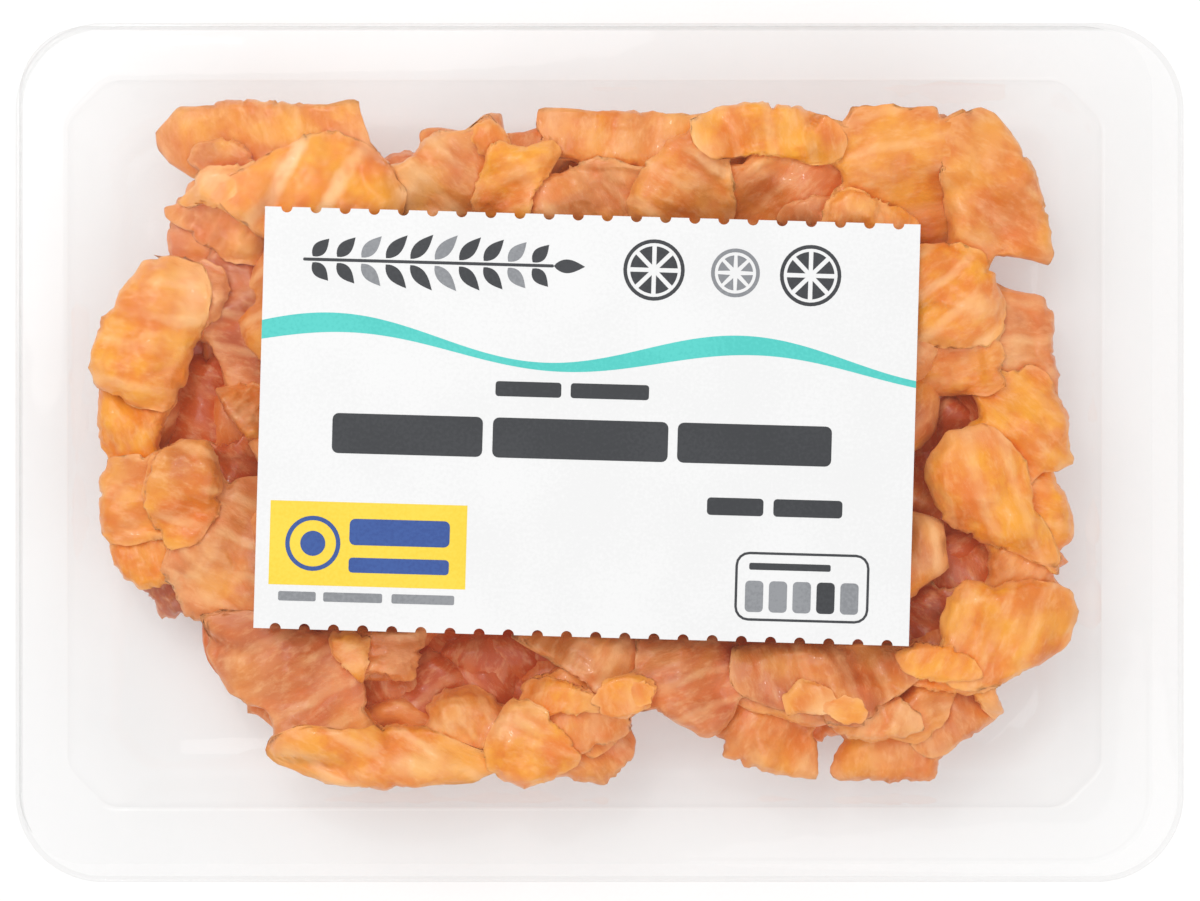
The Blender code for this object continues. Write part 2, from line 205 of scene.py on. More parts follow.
def salmonMaterial(name, look):
    material, tree = startMaterial(name)
    grain = attribute(tree, "grain", "Vector")
    light, blush, fat = addNode(tree, "SeparateXYZ", {0: attribute(tree, "flakeLook", "Vector")}).outputs

    # flesh: yellow orange to pink tan, with soft clouds, darker where the flake says so
    clouds = addNode(tree, "TexNoise", {"Vector": grain, "Scale": look["cloudScale"], "Detail": 4.0,
                                        "Roughness": 0.62})
    cloudy = ramp(tree, clouds.outputs[0], 0.35, 0.65)
    warm = mixColours(tree, cloudy, look["orange"], look["amber"])
    pink = mixColours(tree, cloudy, look["tan"], look["rose"])
    flesh = mixColours(tree, blush, warm, pink)
    flesh = mixColours(tree, ramp(tree, light, 0.0, 1.0), flesh, look["pale"])

    # smoky pale patches
    smoke = addNode(tree, "TexNoise", {"Vector": grain, "Scale": look["smokeScale"], "Detail": 3.0,
                                       "Roughness": 0.6, "Distortion": 0.6})
    smokeShare = calculate(tree, "MULTIPLY_ADD", blush, look["smoke"], look["smokeLeast"])
    smoky = calculate(tree, "MULTIPLY", ramp(tree, smoke.outputs[0], 0.5, 0.78), smokeShare)
    flesh = mixColours(tree, smoky, flesh, look["pale"])

    # the darkest pieces are deep red brown: partly the flesh's own darker colour, partly painted shade on the flakes
    # that lie down in the pits; below that the grey brown of the skin side
    flesh = mixColours(tree, ramp(tree, light, 0.0, -1.0), flesh, look["deep"])
    flesh = mixColours(tree, ramp(tree, light, -1.1, -1.6), flesh, look["skin"])

    # pale fat lines across the grain, bent by slow noise
    bend = addNode(tree, "TexNoise", {"Vector": grain, "Scale": look["bendScale"], "Detail": 2.0})
    shift = addNode(tree, "VectorMath", {0: bend.outputs["Color"], 1: look["bendReach"]}, operation="MULTIPLY")
    bent = addNode(tree, "VectorMath", {0: grain, 1: shift.outputs[0]}, operation="ADD")
    lines = addNode(tree, "TexWave", {"Vector": bent.outputs[0], "Scale": look["lineScale"], "Distortion": 1.0,
                                      "Detail": 2.0, "Detail Scale": 1.5})
    lines.bands_direction = "X"
    line = ramp(tree, lines.outputs["Fac"], look["lineFrom"], look["lineTo"])
    patches = addNode(tree, "TexNoise", {"Vector": grain, "Scale": look["patchScale"], "Detail": 1.0})
    line = calculate(tree, "MULTIPLY", line, ramp(tree, patches.outputs[0], 0.3, 0.6))
    line = calculate(tree, "MULTIPLY", line, fat)
    flesh = mixColours(tree, line, flesh, look["fat"])

    # painted shade: a deeper, redder colour low in the heap and along the creases, where less light reaches
    place = addNode(tree, "TexCoord").outputs["Object"]
    height = addNode(tree, "SeparateXYZ", {0: place}).outputs[2]
    low = calculate(tree, "MULTIPLY", ramp(tree, height, look["highAt"], look["lowAt"]), look["lowShadeStrength"])
    flesh = mixColours(tree, low, flesh, look["low"])
    crease = calculate(tree, "MULTIPLY", attribute(tree, "valley"), look["creaseShadeStrength"])
    flesh = mixColours(tree, crease, flesh, look["crease"])

    # fine fibres across the grain, pale in the flesh and raised in the wet surface
    stretched = addNode(tree, "Mapping", {"Vector": grain, "Scale": look["fibreScale"]})
    fibres = addNode(tree, "TexNoise", {"Vector": stretched.outputs[0], "Scale": 1.0, "Detail": 4.0,
                                        "Roughness": 0.65})
    fibrous = calculate(tree, "MULTIPLY", ramp(tree, fibres.outputs[0], 0.45, 0.75), look["fibreStrength"])
    flesh = mixColours(tree, fibrous, flesh, look["fat"])

    # painted light: the thin torn rim paler and pinker, as if light shone through it
    rim = calculate(tree, "MULTIPLY", attribute(tree, "rim"), look["rimLightStrength"])
    flesh = mixColours(tree, rim, flesh, look["rim"])

    # relief: the steps between the flesh's layers, and the fibres
    layers = addNode(tree, "TexWave", {"Vector": bent.outputs[0], "Scale": look["layerScale"], "Distortion": 3.0,
                                       "Detail": 2.0, "Detail Scale": 1.2}, wave_profile="SAW")
    relief = calculate(tree, "MULTIPLY_ADD", layers.outputs["Fac"], look["layerStep"], fibres.outputs[0])
    bump = addNode(tree, "Bump", {"Height": relief, "Strength": look["bump"], "Distance": look["bumpDepth"]})
    wet = addNode(tree, "MapRange", {"Value": clouds.outputs[0], "From Min": 0.3, "From Max": 0.7,
                                     "To Min": look["roughness"][0], "To Max": look["roughness"][1]})

    # a faint glow stands for the light that sinks into the flesh and fills its hollows
    shader = addNode(tree, "BsdfPrincipled", {
        "Base Color": flesh,
        "Roughness": wet.outputs["Result"],
        "IOR": 1.4,
        "Emission Color": flesh,
        "Emission Strength": look["innerGlow"],
        "Coat Weight": look["coat"],
        "Coat Roughness": look["coatRoughness"],
        "Normal": bump.outputs[0],
    })
    addNode(tree, "OutputMaterial", {"Surface": shader.outputs[0]})
    return material


def paperMaterial(name, look):
    # uncoated paper: fine fibres in tone and in relief, with a glow where a surface has to stay pale
    material, tree = startMaterial(name)
    place = addNode(tree, "TexCoord").outputs["Object"]
    fibres = addNode(tree, "TexNoise", {"Vector": place, "Scale": 1800.0, "Detail": 2.0})
    clouds = addNode(tree, "TexNoise", {"Vector": place, "Scale": 60.0, "Detail": 2.0})
    blotch = calculate(tree, "ADD", fibres.outputs[0], clouds.outputs[0])
    tone = mixColours(tree, ramp(tree, blotch, 0.8, 1.2), look["low"], look["high"])
    bump = addNode(tree, "Bump", {"Height": fibres.outputs[0], "Strength": look["bump"], "Distance": 0.0001})
    shader = addNode(tree, "BsdfPrincipled", {"Base Color": tone, "Roughness": look["roughness"],
                                             "Normal": bump.outputs[0], "Emission Color": (1, 1, 1, 1),
                                             "Emission Strength": look.get("glow", 0.0)})
    addNode(tree, "OutputMaterial", {"Surface": shader.outputs[0]})
    return material


# Camera, lights and floor

stage = {
    "floorSize": 3.0,
    "floorGrey": 0.68,
    "floorGlow": 0.27,
    "skyStrength": 0.77,
    "keyPlace": (-0.3, 0.34, 0.72),
    "keySize": 0.7,
    "keyPower": 2.5,
    "glintPlace": (-0.16, 0.3, 0.6),
    "glintSize": 0.035,
    "glintPower": 0.22,
    "fillPlace": (0.36, -0.4, 0.66),
    "fillSize": 0.7,
    "fillPower": 1.3,
}


def aimAt(thing, target):
    thing.rotation_euler = (Vector(target) - thing.location).to_track_quat("-Z", "Y").to_euler()


def addSoftLight(name, place, size, power):
    lamp = bpy.data.lights.new(name, "AREA")
    lamp.shape = "DISK"
    lamp.size = size
    lamp.energy = power
    light = bpy.data.objects.new(name, lamp)
    bpy.context.scene.collection.objects.link(light)
    light.location = place
    aimAt(light, (0, 0, 0))


def setStage():
    scene = bpy.context.scene
    scene.view_settings.view_transform = "Standard"
    cameraData = bpy.data.cameras.new("camera")
    cameraData.lens = view["lens"]
    cameraData.sensor_width = view["sensor"]
    cameraData.clip_start = 0.01
    camera = bpy.data.objects.new("camera", cameraData)
    scene.collection.objects.link(camera)
    fieldWidth = view["imageWidth"] / view["pixelsPerMm"] * mm
    distance = fieldWidth * view["lens"] / view["sensor"]
    x, y = toTray(view["imageMiddle"])
    camera.location = (x * mm, y * mm, distance + pocket["top"] * mm)
    scene.camera = camera

    world = bpy.data.worlds.new("softSky")
    world.use_nodes = True
    sky = world.node_tree.nodes["Background"]
    sky.inputs["Color"].default_value = (1, 1, 1, 1)
    sky.inputs["Strength"].default_value = stage["skyStrength"]
    scene.world = world
    addSoftLight("keyLight", stage["keyPlace"], stage["keySize"], stage["keyPower"])
    addSoftLight("fillLight", stage["fillPlace"], stage["fillSize"], stage["fillPower"])
    addSoftLight("glintLight", stage["glintPlace"], stage["glintSize"], stage["glintPower"])

    deselectAll()
    bpy.ops.mesh.primitive_plane_add(size=stage["floorSize"], location=(0, 0, -0.0002))
    floor = bpy.context.object
    floor.name = "floor"
    applyPlace(floor)
    grey = stage["floorGrey"]
    setMaterial(floor, paperMaterial("floorPaper", {
        "low": (grey - 0.01, grey - 0.01, grey - 0.01, 1), "high": (grey, grey, grey, 1),
        "roughness": 0.9, "bump": 0.02, "glow": stage["floorGlow"]}))


setStage()
print("camera, lights and floor set")


# Tray

traySizes = {
    "rimLength": 187,
    "rimWidth": 137.5,
    "rimCorner": 14,
    "ringLength": 180.8,
    "ringWidth": 133.6,
    "ringCorner": 11,
    "ringStep": 0.6,
    "lip": 0.8,
    "arcSteps": 8,
    "filletSteps": 8,
    "roundCut": 0.5858,
    "floorLevel": 0.1,
    "wallSteps": 4,
    "lipSteps": ((0.12, 0.55), (0.0, 0.25), (-0.2, 0.06), (-0.5, 0.0)),  # inset, and drop in lips
    "ringSteps": ((-7.0, 0.0), (-0.7, 0.0), (-0.45, 0.15), (-0.2, 0.85), (0.05, 1.0)),  # outset, and drop in steps
    "rimSteps": ((1.2, 0.6), (0.4, 0.6), (0.1, 0.68), (0.0, 0.85), (0.1, 1.04), (0.4, 1.1), (0.9, 1.1)),
}


def planOutline(length, width, radius, cut, steps, centre=(0, 0)):
    # a rectangle whose corners are an arc, a straight cut at 45 degrees and an arc
    tangent = radius * math.tan(math.pi / 8)
    corner = []
    starts = (
        (length / 2 - radius, width / 2 - cut - tangent, 0.0),
        (length / 2 - cut - tangent, width / 2 - radius, math.pi / 4),
    )
    for x, y, start in starts:
        for step in range(steps):
            angle = start + math.pi / 4 * (step + 0.5) / steps
            corner.append((x + radius * math.cos(angle), y + radius * math.sin(angle)))
    points = list(corner)
    points += [(-x, y) for x, y in reversed(corner)]
    points += [(-x, -y) for x, y in corner]
    points += [(x, -y) for x, y in reversed(corner)]
    return [(x + centre[0], y + centre[1]) for x, y in points]


def pocketInset(z):
    # how far the pocket's inner face lies inside its mouth, at heights over the floor's face
    sweep = math.pi / 2 - math.radians(pocket["draft"])
    rise = pocket["fillet"] * (1 - math.cos(sweep))
    depth = pocket["top"] - pocket["wall"]
    run = (depth - np.maximum(z, rise)) * math.tan(math.radians(pocket["draft"]))
    angle = np.arccos(np.clip(1 - np.asarray(z) / pocket["fillet"], -1, 1))
    curve = pocket["fillet"] * (math.sin(sweep) - np.sin(np.minimum(angle, sweep)))
    return run + curve


def pocketOutline(inset):
    grow = max(inset, 0)
    return planOutline(pocket["length"] - 2 * inset, pocket["width"] - 2 * inset,
                       pocket["corner"] + grow * pocket["cornerGrowth"],
                       pocket["cornerCut"] + grow * pocket["cutGrowth"],
                       traySizes["arcSteps"], pocket["centre"])


def ringOutline(outset):
    radius = traySizes["ringCorner"] + outset
    return planOutline(traySizes["ringLength"] + 2 * outset, traySizes["ringWidth"] + 2 * outset,
                       radius, radius * traySizes["roundCut"], traySizes["arcSteps"], pocket["centre"])


def rimOutline(inset):
    radius = traySizes["rimCorner"] - inset
    return planOutline(traySizes["rimLength"] - 2 * inset, traySizes["rimWidth"] - 2 * inset,
                       radius, radius * traySizes["roundCut"], traySizes["arcSteps"])


def extrudeTo(outline, z):
    # grows the open edge outwards and lays its new points on the next outline
    piece = bpy.context.object
    bpy.ops.mesh.extrude_edges_indiv()
    bpy.ops.object.mode_set(mode="OBJECT")
    layOutline([vert for vert in piece.data.vertices if vert.select], outline, z)
    bpy.ops.object.mode_set(mode="EDIT")


def layOutline(verts, outline, z):
    middle = sum((vert.co for vert in verts), Vector()) / len(verts)
    verts = sorted(verts, key=lambda vert: math.atan2(vert.co.y - middle.y, vert.co.x - middle.x))
    centreX = sum(x for x, y in outline) / len(outline)
    centreY = sum(y for x, y in outline) / len(outline)
    places = sorted(outline, key=lambda point: math.atan2(point[1] - centreY, point[0] - centreX))
    for vert, (x, y) in zip(verts, places):
        vert.co = (x * mm, y * mm, z * mm)


def makeTray():
    # one sheet from the floor up the wall, over the ring and out to the rim, hemmed under at its edge
    top = pocket["top"]
    floorTop = traySizes["floorLevel"]
    sweep = math.pi / 2 - math.radians(pocket["draft"])
    deselectAll()
    bpy.ops.mesh.primitive_circle_add(vertices=len(pocketOutline(0)), fill_type="NGON")
    tray = bpy.context.object
    tray.name = "traySheet"
    bpy.ops.object.mode_set(mode="EDIT")
    bpy.ops.mesh.select_all(action="SELECT")
    bpy.ops.object.mode_set(mode="OBJECT")
    layOutline(list(tray.data.vertices), pocketOutline(float(pocketInset(0.0))), floorTop)
    bpy.ops.object.mode_set(mode="EDIT")
    for step in range(1, traySizes["filletSteps"] + 1):
        z = pocket["fillet"] * (1 - math.cos(sweep * step / traySizes["filletSteps"]))
        extrudeTo(pocketOutline(float(pocketInset(z))), z + floorTop)
    wallLow = z
    wallHigh = top - floorTop - traySizes["lip"]
    for step in range(1, traySizes["wallSteps"] + 1):
        z = wallLow + (wallHigh - wallLow) * step / traySizes["wallSteps"]
        extrudeTo(pocketOutline(float(pocketInset(z))), z + floorTop)
    for inset, drop in traySizes["lipSteps"]:
        extrudeTo(pocketOutline(inset), top - drop * traySizes["lip"])
    for outset, drop in traySizes["ringSteps"]:
        extrudeTo(ringOutline(outset), top - drop * traySizes["ringStep"])
    for inset, drop in traySizes["rimSteps"]:
        extrudeTo(rimOutline(inset), top - drop)
    bpy.ops.mesh.select_all(action="SELECT")
    bpy.ops.mesh.normals_make_consistent(inside=False)
    bpy.ops.object.mode_set(mode="OBJECT")
    bpy.ops.object.shade_smooth()
    return tray


trayPiece = makeTray()
setMaterial(trayPiece, clearPlastic("clearTrayPlastic", {
    "tint": (0.951, 0.951, 0.95, 1),
    "gloss": 0.025,
    "edgeGloss": 0.5,
    "roughness": 0.06,
    "ripple": 0.12,
    "rippleScale": 90.0,
}))
print("tray made")


# Salmon

salmonLook = {
    "orange": colour(226, 122, 20),
    "amber": colour(239, 159, 32),
    "tan": colour(204, 116, 58),
    "rose": colour(221, 139, 83),
    "pale": colour(243, 190, 130),
    "deep": colour(176, 76, 38),
    "fat": colour(250, 198, 140),
    "skin": colour(134, 92, 74),
    # painted shade: the colour given to the flesh low in the heap
    "low": colour(212, 92, 30),
    "highAt": 0.0165,
    "lowAt": 0.008,
    "lowShadeStrength": 0.65,
    # painted shade: the colour given along the creases
    "crease": colour(224, 108, 30),
    "creaseShadeStrength": 0.5,
    # painted light: the rim's colour stands for light shining through the thin torn edge
    "rim": colour(246, 176, 112),
    "rimLightStrength": 0.4,
    "cloudScale": 130.0,
    "smokeScale": 95.0,
    "smoke": 0.45,
    "smokeLeast": 0.15,
    "bendScale": 60.0,
    "bendReach": (0.006, 0.004, 0.0),
    "patchScale": 90.0,
    "lineScale": 55.0,
    "lineFrom": 0.66,
    "lineTo": 1.05,
    "fibreScale": (800.0, 330.0, 400.0),
    "fibreStrength": 0.3,
    "layerScale": 38.0,
    "layerStep": 0.6,
    "bump": 0.42,
    "bumpDepth": 0.0005,
    "roughness": (0.34, 0.5),
    "coat": 0.25,
    "coatRoughness": 0.1,
    "toneSlope": 0.22,
    "toneClouds": 0.45,
    "blushClouds": 0.6,
    "innerGlow": 0.045,
}

flakeSizes = {
    "fine": 5,  # subdivisions of the ball that a flake starts from
    "coarse": 4,
    "spread": 0.8,
    "clearance": 0.5,  # from the pocket's wall
    "floorGap": 0.3,
    "ceiling": 21.0,
    "ceilingSoft": 0.25,
    "above": 0.46,  # of the thickness, over the edge and under it
    "below": 0.4,
    "droop": 0.9,
    "sink": 0.9,
    "torn": (0.6, 0.5, 0.4),  # wide, small and finest raggedness of the edge
    "biteFrom": 0.32,
    "biteDepth": 2.2,
    "creases": (1.7, 0.8, 0.4),  # wide, narrow and finest
    "creaseStretch": 2.6,
    "valleyDepth": 0.55,
    "swell": 1.5,
    "fold": 1.2,
    "foldWidth": 4.0,
    "hollow": 0.7,  # share of the fold's height, in a dip across it
    "hollowWidth": 3.0,
    "shake": 0.2,
    "shakeSize": 1.4,
}

# How far a flake reaches out to look for a neighbour, and then goes under a higher one or into an equal one
tuck = {"look": 1.2, "under": 4.0, "beside": 1.6, "softened": 3}

# Heights of the flakes laid so far, on a grid over the pocket
bed = {"cell": 0.7, "rows": 190, "columns": 260, "lip": 0.45, "plump": 0.8, "soft": 0.3}

draw = random.Random(7)
noise.seed_set(7)
allFlakes = {}


def keepInPocket(points, clearance):
    # presses points, in millimetres, inside the walls, the cut corners, the floor and the film
    floor = pocket["wall"] + flakeSizes["floorGap"]
    soft = flakeSizes["ceilingSoft"]
    ceiling = flakeSizes["ceiling"]
    z = -soft * np.log(np.exp(-points[:, 2] / soft) + math.exp(-ceiling / soft))
    z = np.maximum(z, floor)
    inset = pocketInset(z - pocket["wall"]) + clearance
    halfX = pocket["length"] / 2 - inset
    halfY = pocket["width"] / 2 - inset
    x = np.clip(points[:, 0] - pocket["centre"][0], -halfX, halfX)
    y = np.clip(points[:, 1] - pocket["centre"][1], -halfY, halfY)
    cut = pocket["cornerCut"] + inset * (pocket["cornerGrowth"] + pocket["cutGrowth"])
    excess = np.maximum(np.abs(x) + np.abs(y) - (halfX + halfY - cut), 0)
    x -= np.sign(x) * excess / 2
    y -= np.sign(y) * excess / 2
    return np.stack((x + pocket["centre"][0], y + pocket["centre"][1], z), axis=1)


def splitEdge(edge, parts):
    # the same outline with more points along each side
    points = np.array(edge, dtype=float)
    after = np.roll(points, -1, axis=0)
    shares = np.arange(parts) / parts
    return (points[:, None, :] * (1 - shares[:, None]) + after[:, None, :] * shares[:, None]).reshape(-1, 2)


def roundEdge(edge):
    # cuts the corners of an outline once
    points = np.array(edge, dtype=float)
    after = np.roll(points, -1, axis=0)
    return np.stack((points * 0.9 + after * 0.1, points * 0.1 + after * 0.9), axis=1).reshape(-1, 2)


def insideOf(points, edge):
    # whether each point lies inside the closed outline
    x, y = points[:, 0:1], points[:, 1:2]
    x0, y0 = edge[:, 0], edge[:, 1]
    x1, y1 = np.roll(x0, -1), np.roll(y0, -1)
    rise = np.where(y1 == y0, 1e-9, y1 - y0)
    crossed = ((y0 > y) != (y1 > y)) & (x < (x1 - x0) * (y - y0) / rise + x0)
    return crossed.sum(axis=1) % 2 == 1


def tuckEdge(plan, plans):
    # draws the edge out under each neighbour that lies higher, and a little into one at the same level
    points = splitEdge(roundEdge(plan["edge"]), 5)
    centre = (points.max(axis=0) + points.min(axis=0)) / 2
    away = points - centre
    away = away / np.linalg.norm(away, axis=1)[:, None]
    push = np.zeros(len(points))
    for other in plans:
        if other is plan:
            continue
        touching = insideOf(points + away * tuck["look"], np.array(other["edge"]))
        higher = other["height"] - plan["height"]
        reach = tuck["under"] if higher > 0.5 else tuck["beside"] if higher > -0.5 else 0
        push = np.where(touching, np.maximum(push, reach), push)
    for _ in range(tuck["softened"]):
        push = (np.roll(push, 1) + push * 2 + np.roll(push, -1)) / 4
    return points + away * push[:, None]


def readReach(points):
    # an outline's reach from its centre for each angle
    centre = (points.max(axis=0) + points.min(axis=0)) / 2
    away = points - centre
    angles = np.arctan2(away[:, 1], away[:, 0])
    order = np.argsort(angles)
    return centre, angles[order], np.hypot(away[order, 0], away[order, 1])


bedHeights = np.zeros((bed["rows"], bed["columns"]))


def bedCell(points):
    row = points[:, 1] / bed["cell"] + bed["rows"] / 2
    column = points[:, 0] / bed["cell"] + bed["columns"] / 2
    return row, column


def addToBed(points):
    row, column = bedCell(points)
    np.maximum.at(bedHeights, (row.round().astype(int), column.round().astype(int)), points[:, 2])


def readBed(points):
    # height of the flakes laid so far, each spread to the cells round it
    top = bedHeights
    for axis in (0, 1):
        top = np.maximum(top, np.maximum(np.roll(top, 1, axis), np.roll(top, -1, axis)))
    for axis in (0, 1):
        top = (np.roll(top, 1, axis) + top * 2 + np.roll(top, -1, axis)) / 4
    row, column = bedCell(points)
    low, left = row.astype(int), column.astype(int)
    up, over = row - low, column - left
    return ((top[low, left] * (1 - over) + top[low, left + 1] * over) * (1 - up)
            + (top[low + 1, left] * (1 - over) + top[low + 1, left + 1] * over) * up)


def layOnBed(points, upper, out):
    # lifts the upper side and the edge of a flake onto the flakes that lie there already
    least = readBed(points) + bed["lip"] + bed["plump"] * (1 - out ** 4)
    lifted = points[:, 2] + bed["soft"] * np.log1p(np.exp(np.clip((least - points[:, 2]) / bed["soft"], -30, 30)))
    return np.where(upper, lifted, points[:, 2])


def paint(piece, name, kind, values):
    # keeps one value for each point in an attribute that the material reads
    key = "vector" if kind == "FLOAT_VECTOR" else "value"
    piece.data.attributes.new(name, kind, "POINT").data.foreach_set(key, values.astype(np.float32).ravel())


def foldShape(away, width, least):
    # height of a rounded ridge, from how far away its line lies
    return np.maximum(1 - np.sqrt(away ** 2 + 0.15) / width, least)


def flake(group, height, thick, edge, lean=(0, 0), grain=0, light=0.0, blush=0.3, fat=0.12, gap=1.0,
          fine=True, rests=False):
    # one torn flake: a flattened ball drawn out to its edge, folded and creased along its grain
    fold = flakeSizes["fold"]
    number = len(allFlakes.get(group, []))
    seed = number * 3.7 + len(group) * 11.3
    centre, angles, reaches = readReach(splitEdge(edge, 4))
    deselectAll()
    bpy.ops.mesh.primitive_ico_sphere_add(subdivisions=flakeSizes["fine" if fine else "coarse"], radius=1)
    piece = bpy.context.object
    ball = readPoints(piece)
    theta = np.arctan2(ball[:, 1], ball[:, 0])
    out = np.clip(np.hypot(ball[:, 0], ball[:, 1]), 0, 1)
    circle = np.stack((np.cos(theta), np.sin(theta), np.zeros(len(theta))), axis=1)
    size = reaches.mean()
    tornHere = np.clip(noiseAt(circle * size, 5.0, seed + 12) * 1.6 + 0.5, 0.1, 1)
    wide, small, finest = flakeSizes["torn"]
    torn = noiseAt(circle * size, 4.2, seed) * wide + tornHere * (
        noiseAt(circle * size, 1.1, seed + 5) * small + noiseAt(circle * size, 0.55, seed + 6) * finest)
    bites = np.maximum(noiseAt(circle * size, 1.9, seed + 7) - flakeSizes["biteFrom"], 0) * flakeSizes["biteDepth"]
    reach = np.interp(theta, angles, reaches, period=math.tau) + torn - bites

    # the torn edge belongs to the outermost part only, the rest follows a smoother outline
    sweep = np.linspace(-0.7, 0.7, 15)
    smooth = np.mean([np.interp(theta + turn, angles, reaches, period=math.tau) for turn in sweep], axis=0)
    outer = out ** 3
    reach = smooth * (1 - outer) + reach * outer
    spread = out ** flakeSizes["spread"]
    x = np.cos(theta) * reach * spread
    y = np.sin(theta) * reach * spread

    # plump in the middle and thin at the edge, more so above than below
    above = thick * flakeSizes["above"] * (1 - out ** 5) ** 0.7
    below = -thick * flakeSizes["below"] * (1 - out ** 2.4) ** 0.6
    z = np.where(ball[:, 2] > 0, above, below) - flakeSizes["droop"] * out ** 2.6

    # long creases side by side down the grain, one soft fold, and broad swells
    turn = math.radians(grain)
    along = x * math.cos(turn) + y * math.sin(turn)
    across = -x * math.sin(turn) + y * math.cos(turn)
    creased = np.stack((along, across / flakeSizes["creaseStretch"], np.zeros(len(x))), axis=1)
    flat = np.stack((x, y, np.zeros(len(x))), axis=1)
    inner = 1 - out ** 6
    wide, small, finest = flakeSizes["creases"]
    crease = (np.abs(noiseAt(creased, 6.5, seed + 2)) * wide + np.abs(noiseAt(creased, 2.4, seed + 3)) * small
              + np.abs(noiseAt(flat, 1.3, seed + 8)) * finest)
    swell = noiseAt(flat, 7.5, seed + 4) * flakeSizes["swell"]
    pitch = math.radians(grain + 60 + 50 * math.sin(seed))
    overFold = x * math.cos(pitch) + y * math.sin(pitch) - size * 0.3 * math.cos(seed * 1.7)
    alongFold = -x * math.sin(pitch) + y * math.cos(pitch) + size * 0.25 * math.sin(seed * 3.1)
    ridge = fold * foldShape(overFold, flakeSizes["foldWidth"], -0.7)
    ridge = ridge - fold * flakeSizes["hollow"] * foldShape(alongFold, flakeSizes["hollowWidth"], -0.3)
    z = z + inner * np.where(ball[:, 2] > 0, crease + swell + ridge - flakeSizes["sink"], swell + ridge)
    z = z + x * math.tan(math.radians(lean[0])) + y * math.tan(math.radians(lean[1]))
    points = np.stack((x + centre[0], y + centre[1], z + height), axis=1)
    shake = np.array([noise.noise_vector(Vector(point) / flakeSizes["shakeSize"]) for point in points])
    points = points + shake * flakeSizes["shake"]
    upper = ball[:, 2] > -0.01
    if rests:
        points[:, 2] = layOnBed(points, upper, out)
    points = keepInPocket(points, flakeSizes["clearance"])
    if rests:
        addToBed(points[upper])
    writePoints(piece, points * mm)

    # what the material reads: the grain's own coordinates, the flake's look, its creases, where shade is painted, and
    # its torn rim, where light shining through is painted
    paint(piece, "grain", "FLOAT_VECTOR", np.stack((along / gap + seed * 9, across, z), axis=1) * mm)
    slope = (x * math.cos(seed * 2.3) + y * math.sin(seed * 2.3)) / size
    tone = light + salmonLook["toneSlope"] * slope + salmonLook["toneClouds"] * noiseAt(flat, 5.0, seed + 20)
    pinker = np.clip(blush + salmonLook["blushClouds"] * (0.3 + blush) * noiseAt(flat, 7.0, seed + 21), 0, 1)
    paint(piece, "flakeLook", "FLOAT_VECTOR", np.stack((tone, pinker, np.full(len(points), fat)), axis=1))
    # the valleys of the creases, where the material paints shade
    valley = np.clip(1 - crease / flakeSizes["valleyDepth"], 0, 1) * inner
    paint(piece, "valley", "FLOAT", np.where(ball[:, 2] > 0, valley, 0))
    paint(piece, "rim", "FLOAT", np.clip((out - 0.8) / 0.2, 0, 1) ** 2)
    bpy.ops.object.shade_smooth()
    allFlakes.setdefault(group, []).append(piece)


def makeShown():
    # from the lowest up, each laid on those before it
    plans = []
    for group, rows in shownFlakes.items():
        for row in rows.values():
            plan = dict(zip(flakeColumns, row))
            plans.append({**plan, "group": group, "edge": [toTray(pixel) for pixel in plan["edge"]]})
    edges = [tuckEdge(plan, plans) for plan in plans]
    for plan, edge in sorted(zip(plans, edges), key=lambda pair: pair[0]["height"]):
        flake(**{**plan, "edge": edge}, rests=True)
